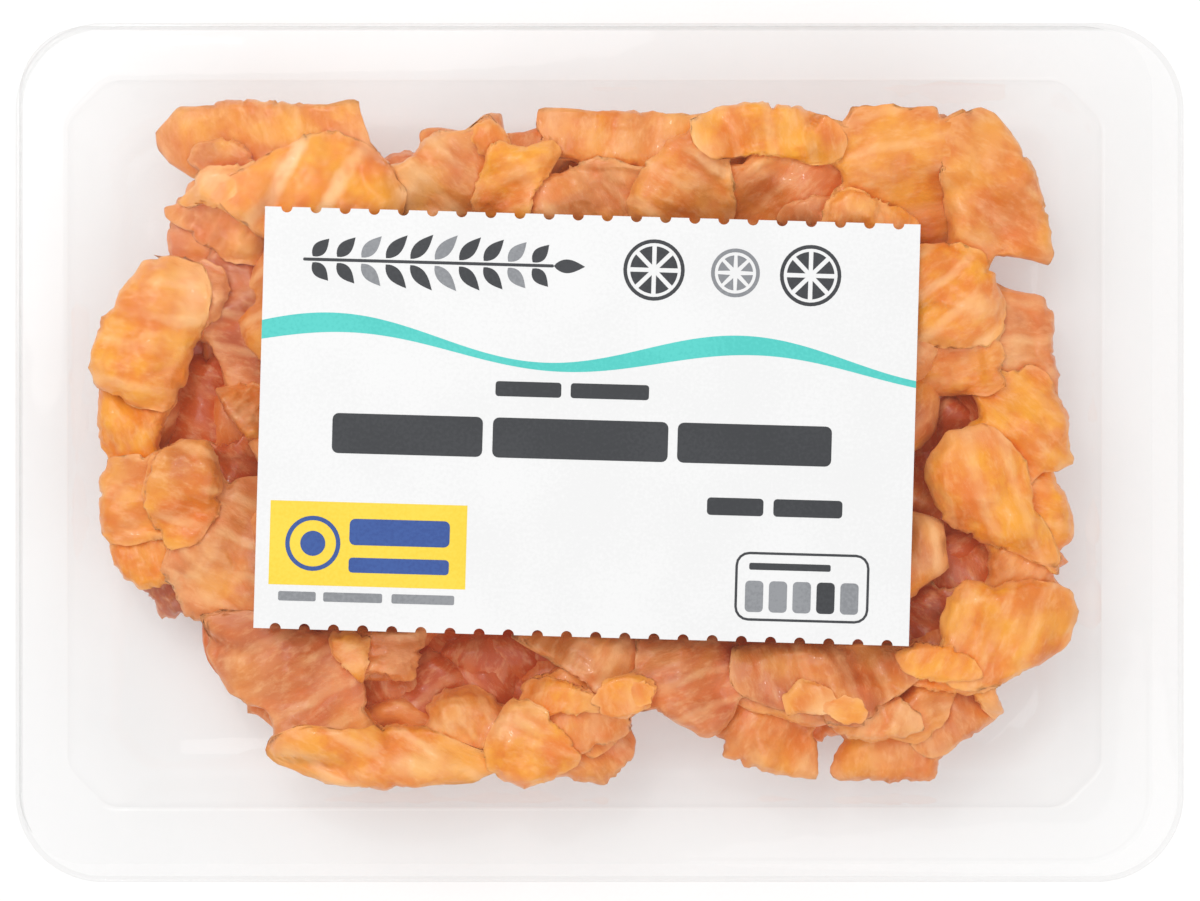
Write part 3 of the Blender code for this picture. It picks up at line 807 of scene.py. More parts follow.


# Every flake that shows from above, on the four sides of the label, then the small scraps.
# Columns: height of its middle over the table and thickness in millimetres, lean in x and y and turn of its
# grain in degrees, light from dark to pale (its lowest values, on the flakes down in the pits, are painted shade),
# share of pink, share of fat lines, spread of the fat lines, and its edge in pixels of the reference view.
flakeColumns = ("height", "thick", "lean", "grain", "light", "blush", "fat", "gap", "edge")
shownFlakes = {
    "far": {
        "cornerStrip": (15.0, 6.5, (3, 12), 15, 0.0, 0.3, 0.09, 1.0, [
            (149, 126), (160, 112), (172, 103), (200, 102), (224, 96), (262, 98), (300, 101), (335, 100),
            (340, 96), (358, 96), (362, 118), (370, 145), (330, 152), (280, 162), (235, 176), (196, 179),
            (165, 162), (152, 142)]),
        "stripCurl": (16.0, 4.5, (9, 30), 60, -0.1, 0.3, 0.06, 1.0, [
            (190, 140), (222, 134), (248, 148), (245, 168), (220, 176), (195, 176), (182, 158)]),
        "paleWedge": (16.0, 4.5, (3, 6), -30, 0.3, 0.1, 0.3, 1.0, [
            (172, 200), (188, 186), (210, 174), (236, 168), (246, 190), (236, 210), (214, 206), (200, 201),
            (184, 206)]),
        "linedFan": (16.8, 7.5, (-3, -6), -34, -0.05, 0.0, 1.0, 1.5, [
            (208, 182), (245, 166), (275, 148), (310, 133), (333, 127), (360, 138), (388, 160), (408, 190),
            (405, 212), (380, 232), (330, 240), (262, 238), (238, 218), (218, 205)]),
        "leftShoulder": (14.0, 6.0, (4, 8), -30, 0.0, 0.6, 0.12, 1.0, [
            (159, 203), (178, 198), (205, 199), (240, 213), (266, 235), (262, 262), (225, 262), (205, 246),
            (190, 240), (184, 228), (170, 222), (160, 213)]),
        "shoulderUnder": (10.5, 6.0, (0, 0), 80, -0.25, 0.8, 0.12, 1.0, [
            (159, 226), (172, 222), (195, 236), (214, 256), (240, 262), (270, 264), (262, 330), (215, 330),
            (185, 265), (160, 256)]),
        "fanNeighbour": (15.2, 7.0, (-9, 4), 50, 0.2, 0.55, 0.3, 1.0, [
            (390, 172), (410, 155), (420, 138), (435, 125), (470, 129), (482, 150), (484, 175), (482, 205),
            (462, 222), (420, 228), (398, 208)]),
        "smallPeak": (16.5, 4.0, (0, 12), 0, 0.25, 0.3, 0.12, 1.0, [
            (474, 121), (492, 119), (506, 130), (510, 146), (495, 156), (478, 152), (471, 136)]),
        "peakUnder": (13.5, 5.5, (0, 9), 0, -0.15, 0.7, 0.12, 1.0, [
            (440, 132), (470, 129), (500, 133), (540, 127), (552, 148), (530, 168), (480, 168), (448, 156)]),
        "amberLump": (16.6, 6.0, (4, 8), 110, 0.05, 0.05, 0.18, 1.0, [
            (478, 168), (500, 152), (530, 142), (553, 137), (562, 150), (548, 172), (535, 194), (528, 220),
            (495, 228), (470, 212), (474, 184)]),
        "middleStrip": (15.0, 6.0, (0, 9), 170, 0.0, 0.5, 0.18, 1.0, [
            (541, 103), (560, 103), (600, 107), (640, 108), (690, 111), (722, 120), (715, 142), (690, 152),
            (640, 160), (590, 162), (560, 150), (545, 138), (536, 125)]),
        "pinkWedge": (15.5, 5.5, (-6, 6), 30, 0.15, 0.75, 0.36, 1.0, [
            (536, 188), (570, 166), (600, 155), (625, 160), (645, 180), (645, 218), (600, 232), (545, 230),
            (524, 208)]),
        "ridgedLump": (16.4, 7.0, (-12, 15), 60, 0.0, 0.5, 0.42, 1.0, [
            (648, 160), (668, 140), (690, 129), (715, 136), (730, 158), (738, 190), (732, 228), (690, 236),
            (640, 232), (624, 204), (635, 178)]),
        "yellowStrip": (16.4, 6.5, (0, 9), 10, 0.05, 0.05, 0.3, 1.0, [
            (690, 120), (720, 103), (755, 99), (800, 103), (818, 112), (838, 122), (850, 140), (842, 160),
            (815, 163), (785, 156), (750, 153), (720, 155), (704, 142)]),
        "sunkenPink": (14.0, 6.5, (0, 15), 130, -0.3, 0.6, 0.18, 1.0, [
            (735, 165), (770, 155), (820, 152), (852, 160), (862, 185), (848, 208), (820, 232), (770, 236),
            (732, 226), (728, 190)]),
        "labelScrap": (15.4, 4.5, (0, 0), 0, -0.1, 0.9, 0.12, 1.0, [
            (786, 203), (815, 194), (838, 205), (836, 228), (800, 232), (776, 218)]),
        "tallBlock": (15.5, 6.5, (-3, 27), 100, 0.0, 0.3, 0.3, 1.0, [
            (852, 107), (880, 105), (903, 103), (938, 108), (948, 124), (956, 150), (960, 185), (964, 215),
            (955, 240), (922, 238), (900, 215), (880, 205), (858, 194), (844, 180), (838, 150), (842, 126)]),
        "roundCorner": (16.2, 6.5, (3, 15), 60, 0.05, 0.45, 0.27, 1.0, [
            (944, 122), (960, 112), (980, 107), (1000, 114), (1020, 138), (1036, 165), (1048, 195), (1054, 225),
            (1061, 252), (1055, 262), (1035, 254), (1005, 252), (985, 264), (962, 244), (950, 215), (942, 180),
            (938, 150)]),
        "paleTongue": (18.0, 4.5, (-6, 0), 170, 0.2, 0.2, 0.24, 1.0, [
            (826, 206), (845, 185), (862, 188), (880, 199), (905, 205), (922, 217), (924, 236), (870, 240),
            (838, 234), (820, 222)]),
    },
    "right": {
        "upperLump": (16.8, 7.0, (-6, 4), 130, 0.05, 0.1, 0.54, 1.0, [
            (908, 248), (940, 240), (965, 242), (985, 250), (1000, 270), (1008, 300), (1008, 328), (990, 346),
            (950, 348), (908, 344), (900, 290)]),
        "lumpUnder": (15.4, 6.5, (-6, 15), 100, 0.0, 0.4, 0.24, 1.0, [
            (908, 332), (945, 330), (975, 336), (1002, 338), (1009, 356), (1000, 380), (975, 394), (940, 397),
            (904, 392)]),
        "outerStrip": (12.5, 6.5, (-12, 0), 85, 0.2, 0.85, 0.3, 1.0, [
            (1008, 282), (1035, 290), (1055, 294), (1064, 312), (1061, 340), (1066, 370), (1066, 398), (1045, 406),
            (1020, 400), (1008, 370), (1002, 328)]),
        "yellowLump": (15.0, 7.0, (-6, -9), 50, 0.0, 0.1, 0.18, 1.0, [
            (982, 395), (1008, 374), (1035, 362), (1055, 370), (1064, 395), (1077, 415), (1076, 445), (1080, 462),
            (1062, 473), (1030, 472), (1003, 442), (984, 418)]),
        "bigTongue": (16.8, 7.5, (-4, 9), 20, 0.05, 0.15, 0.3, 1.0, [
            (932, 455), (948, 430), (985, 423), (1010, 437), (1030, 462), (1036, 480), (1034, 505), (1052, 528),
            (1064, 556), (1062, 570), (1040, 566), (1010, 552), (978, 540), (953, 527), (936, 502), (926, 478)]),
        "tongueOuter": (14.2, 7.0, (-15, 0), 80, 0.1, 0.05, 0.24, 1.0, [
            (1028, 482), (1055, 479), (1073, 490), (1083, 515), (1080, 540), (1067, 552), (1062, 560), (1046, 540),
            (1028, 520), (1014, 510), (1018, 495)]),
        "tongueUnder": (12.5, 6.0, (-9, 6), 140, -0.1, 0.3, 0.18, 1.0, [
            (1000, 545), (1030, 548), (1055, 571), (1063, 592), (1040, 603), (1010, 594), (992, 568)]),
        "pitFloor": (9.5, 6.0, (0, 6), 10, -0.65, 0.7, 0.12, 1.0, [
            (915, 536), (955, 540), (1000, 545), (1028, 565), (1022, 588), (980, 595), (935, 602), (905, 585)]),
        "nearCorner": (16.6, 8.0, (-4, 4), 160, 0.0, 0.15, 0.21, 1.0, [
            (950, 602), (968, 581), (1000, 586), (1030, 580), (1060, 584), (1078, 592), (1087, 612), (1080, 632),
            (1072, 650), (1055, 662), (1030, 672), (1010, 685), (985, 690), (958, 681), (946, 655), (942, 625)]),
        "skinPiece": (10.5, 6.0, (0, 0), 60, -1.25, 0.9, 0.36, 1.0, [
            (900, 592), (935, 585), (955, 600), (960, 640), (935, 658), (900, 654)]),
        "upperPit": (9.0, 6.0, (0, 0), 30, -0.7, 0.9, 0.3, 1.0, [
            (905, 385), (945, 380), (985, 395), (992, 420), (960, 440), (905, 452)]),
    },
    "near": {
        "cornerFoot": (13.0, 6.0, (-9, -9), 20, 0.0, 0.75, 0.24, 1.0, [
            (932, 692), (965, 681), (992, 690), (996, 705), (1009, 718), (998, 731), (975, 743), (955, 756),
            (930, 763), (912, 746), (914, 715)]),
        "cornerCurl": (16.2, 5.5, (0, -9), 150, 0.1, 0.1, 0.3, 1.0, [
            (902, 658), (925, 643), (952, 655), (970, 668), (985, 674), (1002, 688), (970, 697), (935, 692),
            (906, 682)]),
        "nearBlock": (12.0, 6.0, (0, -4), 5, 0.0, 0.5, 0.18, 1.0, [
            (837, 764), (850, 745), (890, 738), (925, 735), (948, 746), (946, 766), (941, 786), (890, 788),
            (838, 786)]),
        "paleCurl": (16.0, 6.0, (0, -12), 170, 0.3, 0.6, 0.3, 1.0, [
            (828, 708), (850, 690), (880, 694), (905, 704), (922, 715), (927, 731), (905, 740), (880, 744),
            (850, 742), (832, 728)]),
        "broadPink": (16.2, 6.5, (0, -9), 15, -0.48, 0.55, 0.3, 1.0, [
            (742, 652), (790, 640), (840, 644), (890, 648), (908, 668), (906, 695), (870, 702), (820, 716),
            (790, 716), (752, 702), (738, 680)]),
        "squareBlock": (13.0, 6.0, (4, -8), 150, -0.05, 0.55, 0.18, 1.0, [
            (720, 728), (740, 708), (770, 711), (805, 724), (821, 745), (821, 783), (798, 783), (770, 776),
            (745, 771), (723, 761), (727, 745)]),
        "blockCollar": (14.8, 4.5, (0, -15), 20, 0.1, 0.95, 0.18, 1.0, [
            (736, 692), (770, 684), (805, 698), (828, 712), (818, 732), (790, 724), (752, 713)]),
        "pinkSlope": (16.0, 6.5, (-4, -12), 110, -0.5, 0.9, 0.3, 1.0, [
            (636, 640), (680, 632), (735, 636), (747, 662), (744, 700), (722, 736), (705, 741), (675, 723),
            (655, 712), (646, 690), (634, 665)]),
        "smallOval": (17.0, 4.5, (4, -9), 20, 0.05, 0.2, 0.18, 1.0, [
            (588, 702), (605, 682), (630, 675), (655, 680), (658, 692), (649, 709), (625, 721), (600, 716)]),
        "roundLump": (16.6, 6.5, (0, -8), 70, 0.2, 0.1, 0.18, 1.0, [
            (482, 752), (492, 725), (505, 705), (520, 697), (532, 714), (550, 721), (567, 735), (580, 755),
            (577, 770), (545, 786), (525, 793), (500, 784), (485, 771)]),
        "lumpCap": (16.4, 4.8, (3, -15), 160, 0.1, 0.25, 0.24, 1.0, [
            (520, 686), (540, 678), (562, 681), (582, 691), (593, 706), (577, 716), (548, 713), (528, 706)]),
        "lumpSkirt": (13.0, 6.0, (-6, -6), 40, -0.05, 0.7, 0.24, 1.0, [
            (560, 738), (590, 722), (630, 725), (636, 745), (633, 765), (618, 776), (605, 789), (575, 788),
            (560, 770)]),
        "skirtTop": (14.6, 5.0, (0, -12), 10, 0.0, 0.45, 0.18, 1.0, [
            (554, 708), (600, 700), (630, 712), (634, 732), (605, 748), (558, 744)]),
        "roundHump": (13.5, 6.0, (0, -9), 30, 0.1, 0.5, 0.36, 1.0, [
            (422, 712), (440, 694), (470, 689), (492, 700), (495, 725), (484, 745), (455, 745), (430, 732)]),
        "longTongue": (15.8, 6.5, (0, -6), 60, 0.15, 0.2, 0.48, 1.0, [
            (258, 746), (274, 736), (300, 725), (345, 731), (400, 727), (440, 734), (470, 749), (486, 767),
            (478, 786), (430, 789), (370, 792), (325, 788), (300, 778), (276, 768), (260, 757)]),
        "broadSlope": (14.8, 6.5, (4, -9), 120, -0.38, 0.9, 0.27, 1.0, [
            (199, 622), (250, 618), (300, 628), (335, 648), (357, 680), (367, 710), (364, 742), (330, 740),
            (300, 736), (270, 731), (262, 712), (240, 708), (222, 695), (206, 672), (199, 655)]),
        "slopeRidge": (16.2, 5.0, (-6, -6), 110, 0.1, 0.3, 0.42, 1.0, [
            (326, 634), (350, 630), (368, 640), (366, 662), (362, 690), (345, 672), (330, 655)]),
        "ridgeSquare": (15.0, 5.5, (-9, -15), 90, -0.05, 0.85, 0.36, 1.0, [
            (362, 630), (425, 626), (422, 650), (408, 684), (385, 682), (366, 662)]),
        "pitLeft": (8.5, 6.0, (0, 0), 20, -0.7, 0.5, 0.12, 1.0, [
            (355, 680), (410, 675), (435, 700), (430, 730), (375, 735), (350, 710)]),
        "pitFloor": (8.0, 6.0, (0, 0), 40, -1.0, 0.8, 0.24, 1.0, [
            (415, 640), (500, 632), (545, 652), (535, 690), (500, 722), (450, 704), (420, 675)]),
        "pitShelf": (15.4, 5.5, (0, -12), 150, -0.1, 0.75, 0.3, 1.0, [
            (505, 638), (560, 630), (620, 634), (660, 650), (655, 676), (610, 690), (575, 677), (535, 655)]),
    },
    "left": {
        "skinPiece": (9.0, 5.5, (0, 0), 30, -1.5, 1.0, 0.0, 1.0, [
            (139, 592), (156, 580), (172, 590), (176, 612), (165, 624), (150, 621)]),
        "outerLump": (15.0, 7.0, (6, -4), 80, 0.1, 0.4, 0.18, 1.0, [
            (91, 480), (100, 470), (103, 459), (120, 454), (142, 456), (152, 475), (154, 510), (150, 542),
            (125, 549), (105, 545), (96, 535), (92, 505)]),
        "innerLump": (16.6, 7.0, (3, 12), 75, -0.3, 0.15, 0.42, 1.0, [
            (146, 475), (160, 450), (180, 440), (205, 441), (216, 460), (222, 490), (214, 520), (195, 547),
            (165, 550), (148, 522), (143, 495)]),
        "lumpFoot": (14.4, 6.0, (3, -9), 20, 0.1, 0.2, 0.18, 1.0, [
            (103, 546), (130, 540), (160, 546), (168, 568), (160, 586), (135, 593), (118, 581), (106, 566)]),
        "broadSlope": (14.6, 7.0, (0, -4), 60, 0.0, 0.8, 0.42, 1.0, [
            (168, 562), (190, 530), (203, 495), (225, 479), (268, 476), (268, 645), (225, 634), (198, 622),
            (178, 617), (168, 590)]),
        "bigBlock": (16.6, 8.0, (-4, -3), 80, 0.15, 0.1, 0.36, 1.0, [
            (85, 352), (91, 335), (97, 318), (109, 308), (112, 292), (130, 272), (140, 257), (165, 251),
            (192, 262), (202, 290), (198, 330), (187, 355), (182, 385), (165, 413), (140, 409), (110, 396),
            (92, 386), (85, 370)]),
        "blockFoot": (14.2, 6.5, (12, -9), 20, 0.0, 0.05, 0.12, 1.0, [
            (90, 388), (120, 390), (150, 402), (160, 425), (150, 449), (125, 458), (92, 451), (89, 430)]),
        "labelWedge": (14.6, 6.0, (-9, -9), 120, -0.3, 0.5, 0.24, 1.0, [
            (206, 386), (240, 382), (268, 388), (268, 450), (246, 440), (222, 414)]),
        "pinkSlope": (12.6, 6.5, (6, 0), 80, -0.5, 1.0, 0.42, 1.0, [
            (190, 262), (215, 254), (245, 266), (268, 290), (268, 382), (225, 384), (205, 345), (193, 305)]),
        "pitFloor": (8.5, 6.0, (0, 0), 60, -0.8, 0.8, 0.12, 1.0, [
            (140, 395), (200, 355), (250, 368), (268, 440), (225, 470), (150, 475), (132, 450)]),
        "pitShelf": (11.0, 5.5, (-6, 6), 60, -0.85, 0.8, 0.18, 1.0, [
            (212, 445), (240, 440), (268, 450), (268, 495), (235, 492), (215, 475)]),
    },
    "shards": {
        "broadChip": (16.6, 2.6, (0, 0), 30, 0.2, 0.4, 0.2, 1.0, [
            (792, 700), (804, 690), (822, 694), (832, 706), (818, 716), (798, 712)]),
        "chipBeside": (16.8, 2.6, (6, -9), 80, 0.2, 0.3, 0.2, 1.0, [
            (830, 702), (845, 694), (862, 702), (868, 718), (846, 727), (829, 717)]),
        "cornerChip": (17.0, 3.0, (0, -6), 150, 0.05, 0.0, 0.2, 1.0, [
            (898, 652), (924, 643), (946, 652), (968, 664), (972, 676), (948, 682), (918, 680), (900, 672)]),
        "edgeChip": (15.6, 3.4, (-9, 0), 60, 0.2, 0.6, 0.2, 1.0, [
            (985, 690), (1000, 696), (1010, 716), (998, 724), (984, 710)]),
        "blockCollar": (16.4, 4.0, (4, 0), 70, 0.15, 1.0, 0.3, 1.0, [
            (184, 266), (200, 256), (222, 268), (226, 290), (216, 318), (196, 330), (186, 300)]),
        "ovalTip": (17.8, 3.2, (0, 0), 20, 0.1, 0.2, 0.2, 1.0, [
            (628, 686), (644, 680), (658, 688), (652, 704), (636, 706)]),
        "lumpChip": (15.6, 3.6, (4, 0), 90, 0.0, 0.4, 0.2, 1.0, [
            (146, 458), (160, 450), (170, 462), (166, 482), (152, 484)]),
        "fillerLeft": (13.0, 5.0, (0, 0), 30, -0.1, 0.5, 0.1, 1.0, [
            (540, 700), (570, 693), (602, 703), (608, 725), (582, 740), (548, 730)]),
        "fillerFar": (12.6, 5.0, (0, 0), 60, -0.2, 0.6, 0.1, 1.0, [
            (556, 668), (600, 670), (630, 688), (604, 706), (566, 700)]),
        "fillerRight": (13.0, 5.0, (0, 0), 110, -0.1, 0.6, 0.1, 1.0, [
            (886, 682), (925, 676), (950, 700), (932, 726), (896, 718)]),
    },
}


def bluntEdge(x, y, length, width, turn):
    # a rough six-sided edge for the flakes that are laid by rule
    angle = math.radians(turn)
    edge = []
    for corner in range(6):
        around = math.tau * (corner + 0.5) / 6
        u = math.cos(around) * length / 2 * draw.uniform(0.85, 1.15)
        v = math.sin(around) * width / 2 * draw.uniform(0.85, 1.15)
        edge.append((x + u * math.cos(angle) - v * math.sin(angle), y + u * math.sin(angle) + v * math.cos(angle)))
    return edge


hiddenFlakes = {
    "columns": 6,
    "rows": 3,
    "spacing": (19, 18),
    "loose": 3,
    "middleShift": 3,
    "middleHeight": 16.2,
    "middleEdge": (24, 18),
    "courses": (  # lowest and highest middle, inset, spacing, length, width, light
        (3.5, 7.0, 7.5, 12.0, 19.0, 11.0, 0.0),
        (7.0, 11.0, 6.5, 11.0, 17.0, 10.0, 0.0),
        # the third course lies deep in the heap; its dark light value is painted shade
        (5.5, 8.0, 15.0, 13.0, 20.0, 16.0, -0.85),
    ),
}


def middleFlakes():
    # a loose grid under the label
    loose = hiddenFlakes["loose"]
    spacingX, spacingY = hiddenFlakes["spacing"]
    for column in range(hiddenFlakes["columns"]):
        for row in range(hiddenFlakes["rows"]):
            x = (column - (hiddenFlakes["columns"] - 1) / 2) * spacingX + draw.uniform(-loose, loose)
            y = (row - (hiddenFlakes["rows"] - 1) / 2) * spacingY + draw.uniform(-loose, loose)
            y += hiddenFlakes["middleShift"]
            edge = bluntEdge(x, y, *hiddenFlakes["middleEdge"], draw.uniform(0, 180))
            flake("middle", hiddenFlakes["middleHeight"] + draw.uniform(-1, 1), 6.5, edge,
                  lean=(draw.uniform(-8, 8), draw.uniform(-8, 8)), grain=draw.uniform(0, 180),
                  light=draw.uniform(-0.3, 0.1), blush=draw.uniform(0.1, 0.9), fat=draw.uniform(0.2, 0.7), fine=False)


# Where the heap meets the tray, a little inside its outline, in pixels of the reference view
footPath = [
    (190, 160), (350, 128), (455, 138), (520, 134), (560, 120), (700, 120), (930, 125), (995, 150), (1022, 225),
    (980, 255), (1032, 320), (1050, 400), (1062, 470), (1060, 540), (1065, 610), (1035, 650), (985, 672),
    (985, 712), (925, 760), (850, 755), (800, 755), (738, 748), (705, 708), (655, 685), (605, 750), (545, 775),
    (400, 780), (285, 760), (270, 720), (215, 680), (205, 625), (160, 600), (110, 540), (100, 470), (108, 400),
    (98, 350), (122, 285), (180, 250), (188, 205),
]


def lowerFlakes():
    # loose courses round the foot of the heap, seen through the walls and in the gaps between the top flakes
    path = splitEdge([toTray(pixel) for pixel in footPath], 12)
    steps = np.linalg.norm(np.roll(path, -1, axis=0) - path, axis=1)
    way = np.concatenate(([0], np.cumsum(steps)))
    closed = np.vstack((path, path[:1]))
    for low, high, inset, spacing, length, width, shade in hiddenFlakes["courses"]:
        count = int(way[-1] / spacing)
        for number in range(count):
            along = (number + draw.uniform(-0.15, 0.15)) % count * way[-1] / count
            x, y = np.interp(along, way, closed[:, 0]), np.interp(along, way, closed[:, 1])
            ahead = (along + 2) % way[-1]
            turn = math.atan2(np.interp(ahead, way, closed[:, 1]) - y, np.interp(ahead, way, closed[:, 0]) - x)
            x += math.sin(turn) * inset
            y -= math.cos(turn) * inset
            edge = bluntEdge(x, y, length * draw.uniform(0.8, 1.2), width * draw.uniform(0.8, 1.2),
                             math.degrees(turn) + draw.uniform(-30, 30))
            flake("lower", draw.uniform(low, high), draw.uniform(5, 8), edge,
                  lean=(draw.uniform(-18, 18), draw.uniform(-18, 18)), grain=draw.uniform(0, 180),
                  light=shade + draw.uniform(-0.3, 0.0), blush=draw.uniform(0.2, 0.9),
                  fat=draw.uniform(0.1, 0.5), fine=False)


coreSizes = {
    "length": 128,
    "width": 78,
    "height": 12,
    "middle": 6.5,
    "cornerCut": 18,
    "cell": 1.6,
    "feel": 4.0,
    "share": 0.45,
    "gap": 0.8,
    "sideTop": 7.0,
    "clearance": 1.0,
    "look": (-0.35, 0.6, 0.3),  # light, blush and fat, as for the flakes
}


def makeCore():
    # the body of the heap under the flakes: a low mound with a lumpy skin
    deselectAll()
    bpy.ops.mesh.primitive_cube_add(size=1, location=(pocket["centre"][0] / 2, pocket["centre"][1],
                                                      coreSizes["middle"]))
    core = bpy.context.object
    core.scale = (coreSizes["length"], coreSizes["width"], coreSizes["height"])
    applyPlace(core)
    bpy.ops.object.mode_set(mode="EDIT")
    bpy.ops.mesh.select_all(action="SELECT")
    bpy.ops.mesh.bevel(offset=coreSizes["cornerCut"], segments=6, profile=0.5, affect="EDGES", clamp_overlap=True)
    bpy.ops.object.mode_set(mode="OBJECT")
    applyModifier(core, "REMESH", mode="VOXEL", voxel_size=coreSizes["cell"])
    points = readPoints(core)
    swell = np.array([noise.noise_vector(Vector(point) / 7.0) for point in points])
    points = points + swell * np.array((1.2, 1.2, 1.0))

    # the top of the core comes up close under the flakes that lie on it
    over = np.concatenate([readPoints(piece)[::4] for flakes in allFlakes.values() for piece in flakes]) / mm
    tree = KDTree(len(over))
    for number, place in enumerate(over):
        tree.insert((place[0], place[1], 0), number)
    tree.balance()
    for number, point in enumerate(points):
        near = tree.find_range((point[0], point[1], 0), coreSizes["feel"])
        if point[2] > coreSizes["sideTop"] and near:
            heights = sorted(over[index][2] for place, index, reach in near)
            low = heights[int(len(heights) * coreSizes["share"])] - coreSizes["gap"]
            points[number, 2] = max(low, coreSizes["sideTop"])
    points = keepInPocket(points, coreSizes["clearance"])
    paint(core, "grain", "FLOAT_VECTOR", points * mm)
    paint(core, "flakeLook", "FLOAT_VECTOR", np.tile(coreSizes["look"], len(points)))
    writePoints(core, points * mm)
    applyModifier(core, "SMOOTH", factor=0.5, iterations=4)
    bpy.ops.object.shade_smooth()
    core.name = "heapCore"
    return core


makeShown()
middleFlakes()
lowerFlakes()
salmonSkin = salmonMaterial("smokedSalmonFlesh", salmonLook)
heapPieces = [makeCore()]
for group, flakes in allFlakes.items():
    heapPieces.append(joinPieces(flakes, group + "Flakes"))
for piece in heapPieces:
    setMaterial(piece, salmonSkin)
    applyPlace(piece)
    print(piece.name, len(piece.data.polygons), "faces")
print("salmon heap made")


# Lid film

filmSizes = {
    "level": 21.6,
    "outset": 0.3,
    "columns": 90,
    "rows": 66,
    "taut": 8,  # how far from the pocket's mouth its ripples reach their full height
    "ripples": ((14.0, 3, 0.08), (5.0, 8, 0.03)),  # size, seed and height
}


def makeFilm():
    # a flat grid with rounded corners, drawn taut over the ring with faint ripples over the fish
    radius = traySizes["ringCorner"]
    halfX = traySizes["ringLength"] / 2 + filmSizes["outset"]
    halfY = traySizes["ringWidth"] / 2 + filmSizes["outset"]
    deselectAll()
    bpy.ops.mesh.primitive_grid_add(x_subdivisions=filmSizes["columns"], y_subdivisions=filmSizes["rows"], size=2)
    film = bpy.context.object
    film.name = "lidFilmSheet"
    points = readPoints(film)
    x = points[:, 0] * halfX
    y = points[:, 1] * halfY
    overX = np.abs(x) - (halfX - radius)
    overY = np.abs(y) - (halfY - radius)
    inCorner = (overX > 0) & (overY > 0)
    length = np.where(inCorner, np.hypot(overX, overY), 1)
    pull = np.where(inCorner, np.maximum(overX, overY) / length, 1)
    x = np.where(inCorner, np.sign(x) * (halfX - radius + overX * pull), x)
    y = np.where(inCorner, np.sign(y) * (halfY - radius + overY * pull), y)
    flat = np.stack((x, y, np.zeros(len(x))), axis=1)
    inside = np.minimum(pocket["length"] / 2 - np.abs(x), pocket["width"] / 2 - np.abs(y)) / filmSizes["taut"]
    ripples = sum(noiseAt(flat, size, seed) * height for size, seed, height in filmSizes["ripples"])
    z = filmSizes["level"] + np.clip(inside, 0, 1) * ripples
    points = np.stack((x + pocket["centre"][0], y + pocket["centre"][1], z), axis=1)
    writePoints(film, points * mm)
    bpy.ops.object.shade_smooth()
    return film


filmPiece = makeFilm()
setMaterial(filmPiece, clearPlastic("clearLidFilm", {
    "tint": (0.99, 0.99, 0.99, 1),
    "gloss": 0.02,
    "edgeGloss": 0.5,
    "roughness": 0.08,
    "ripple": 0.1,
    "rippleScale": 60.0,
}))
print("lid film made")


# Label

labelSizes = {
    "centre": (-2.0, 4.2),
    "length": 104.6,
    "width": 67.3,
    "bottom": 22.0,
    "sheet": 0.15,
    "turn": -1.6,
    "notchCount": 22,
    "notchPitch": 4.65,
    "notchRadius": 0.9,
}

inks = {
    "white": (colour(226, 226, 226), colour(230, 230, 230)),
    "charcoal": (colour(44, 46, 50), colour(52, 54, 58)),
    "grey": (colour(128, 130, 134), colour(140, 142, 146)),
    "turquoise": (colour(70, 192, 184), colour(80, 200, 192)),
    "yellow": (colour(234, 202, 50), colour(239, 208, 62)),
    "blue": (colour(38, 72, 142), colour(46, 82, 152)),
}
inkMaterials = {}


def onLabel(x, y):
    # a place on the label, from its middle, as a place in the tray's frame
    turn = math.radians(labelSizes["turn"])
    return (x * math.cos(turn) - y * math.sin(turn) + labelSizes["centre"][0],
            x * math.sin(turn) + y * math.cos(turn) + labelSizes["centre"][1])


def flatShape(name, outlines, ink, bottom, sheet):
    # closed outlines on the label as one thin filled sheet; an outline inside another is a hole
    shape = bpy.data.curves.new(name, "CURVE")
    shape.dimensions = "2D"
    shape.fill_mode = "BOTH"
    shape.extrude = sheet * mm / 2
    for outline in outlines:
        line = shape.splines.new("POLY")
        line.points.add(len(outline) - 1)
        for point, place in zip(line.points, outline):
            x, y = onLabel(*place)
            point.co = (x * mm, y * mm, 0, 1)
        line.use_cyclic_u = True
    piece = bpy.data.objects.new(name, shape)
    bpy.context.scene.collection.objects.link(piece)
    piece.location.z = (bottom + sheet / 2) * mm
    selectOnly(piece)
    bpy.ops.object.convert(target="MESH")
    piece = bpy.context.object
    applyPlace(piece)
    bpy.ops.object.mode_set(mode="EDIT")
    bpy.ops.mesh.select_all(action="SELECT")
    bpy.ops.mesh.remove_doubles(threshold=0.000002)
    bpy.ops.mesh.normals_make_consistent(inside=False)
    bpy.ops.object.mode_set(mode="OBJECT")
    setMaterial(piece, inkMaterials[ink])
    return piece


def circleOutline(x, y, radius, count=40):
    return [(x + radius * math.cos(math.tau * i / count), y + radius * math.sin(math.tau * i / count))
            for i in range(count)]


def barOutline(x, y, length, width, corner=0.0, steps=4):
    # a bar with rounded corners, about its middle
    if corner <= 0:
        return [(x + sx * length / 2, y + sy * width / 2) for sx, sy in ((1, 1), (-1, 1), (-1, -1), (1, -1))]
    points = []
    for quarter, (sx, sy) in enumerate(((1, 1), (-1, 1), (-1, -1), (1, -1))):
        for step in range(steps + 1):
            angle = math.pi / 2 * (quarter + step / steps)
            points.append((x + sx * (length / 2 - corner) + corner * math.cos(angle),
                           y + sy * (width / 2 - corner) + corner * math.sin(angle)))
    return points


def addCylinder(x, y, z, radius, height, count=32):
    deselectAll()
    bpy.ops.mesh.primitive_cylinder_add(vertices=count, radius=radius * mm, depth=height * mm,
                                        location=(x * mm, y * mm, z * mm))
    return bpy.context.object


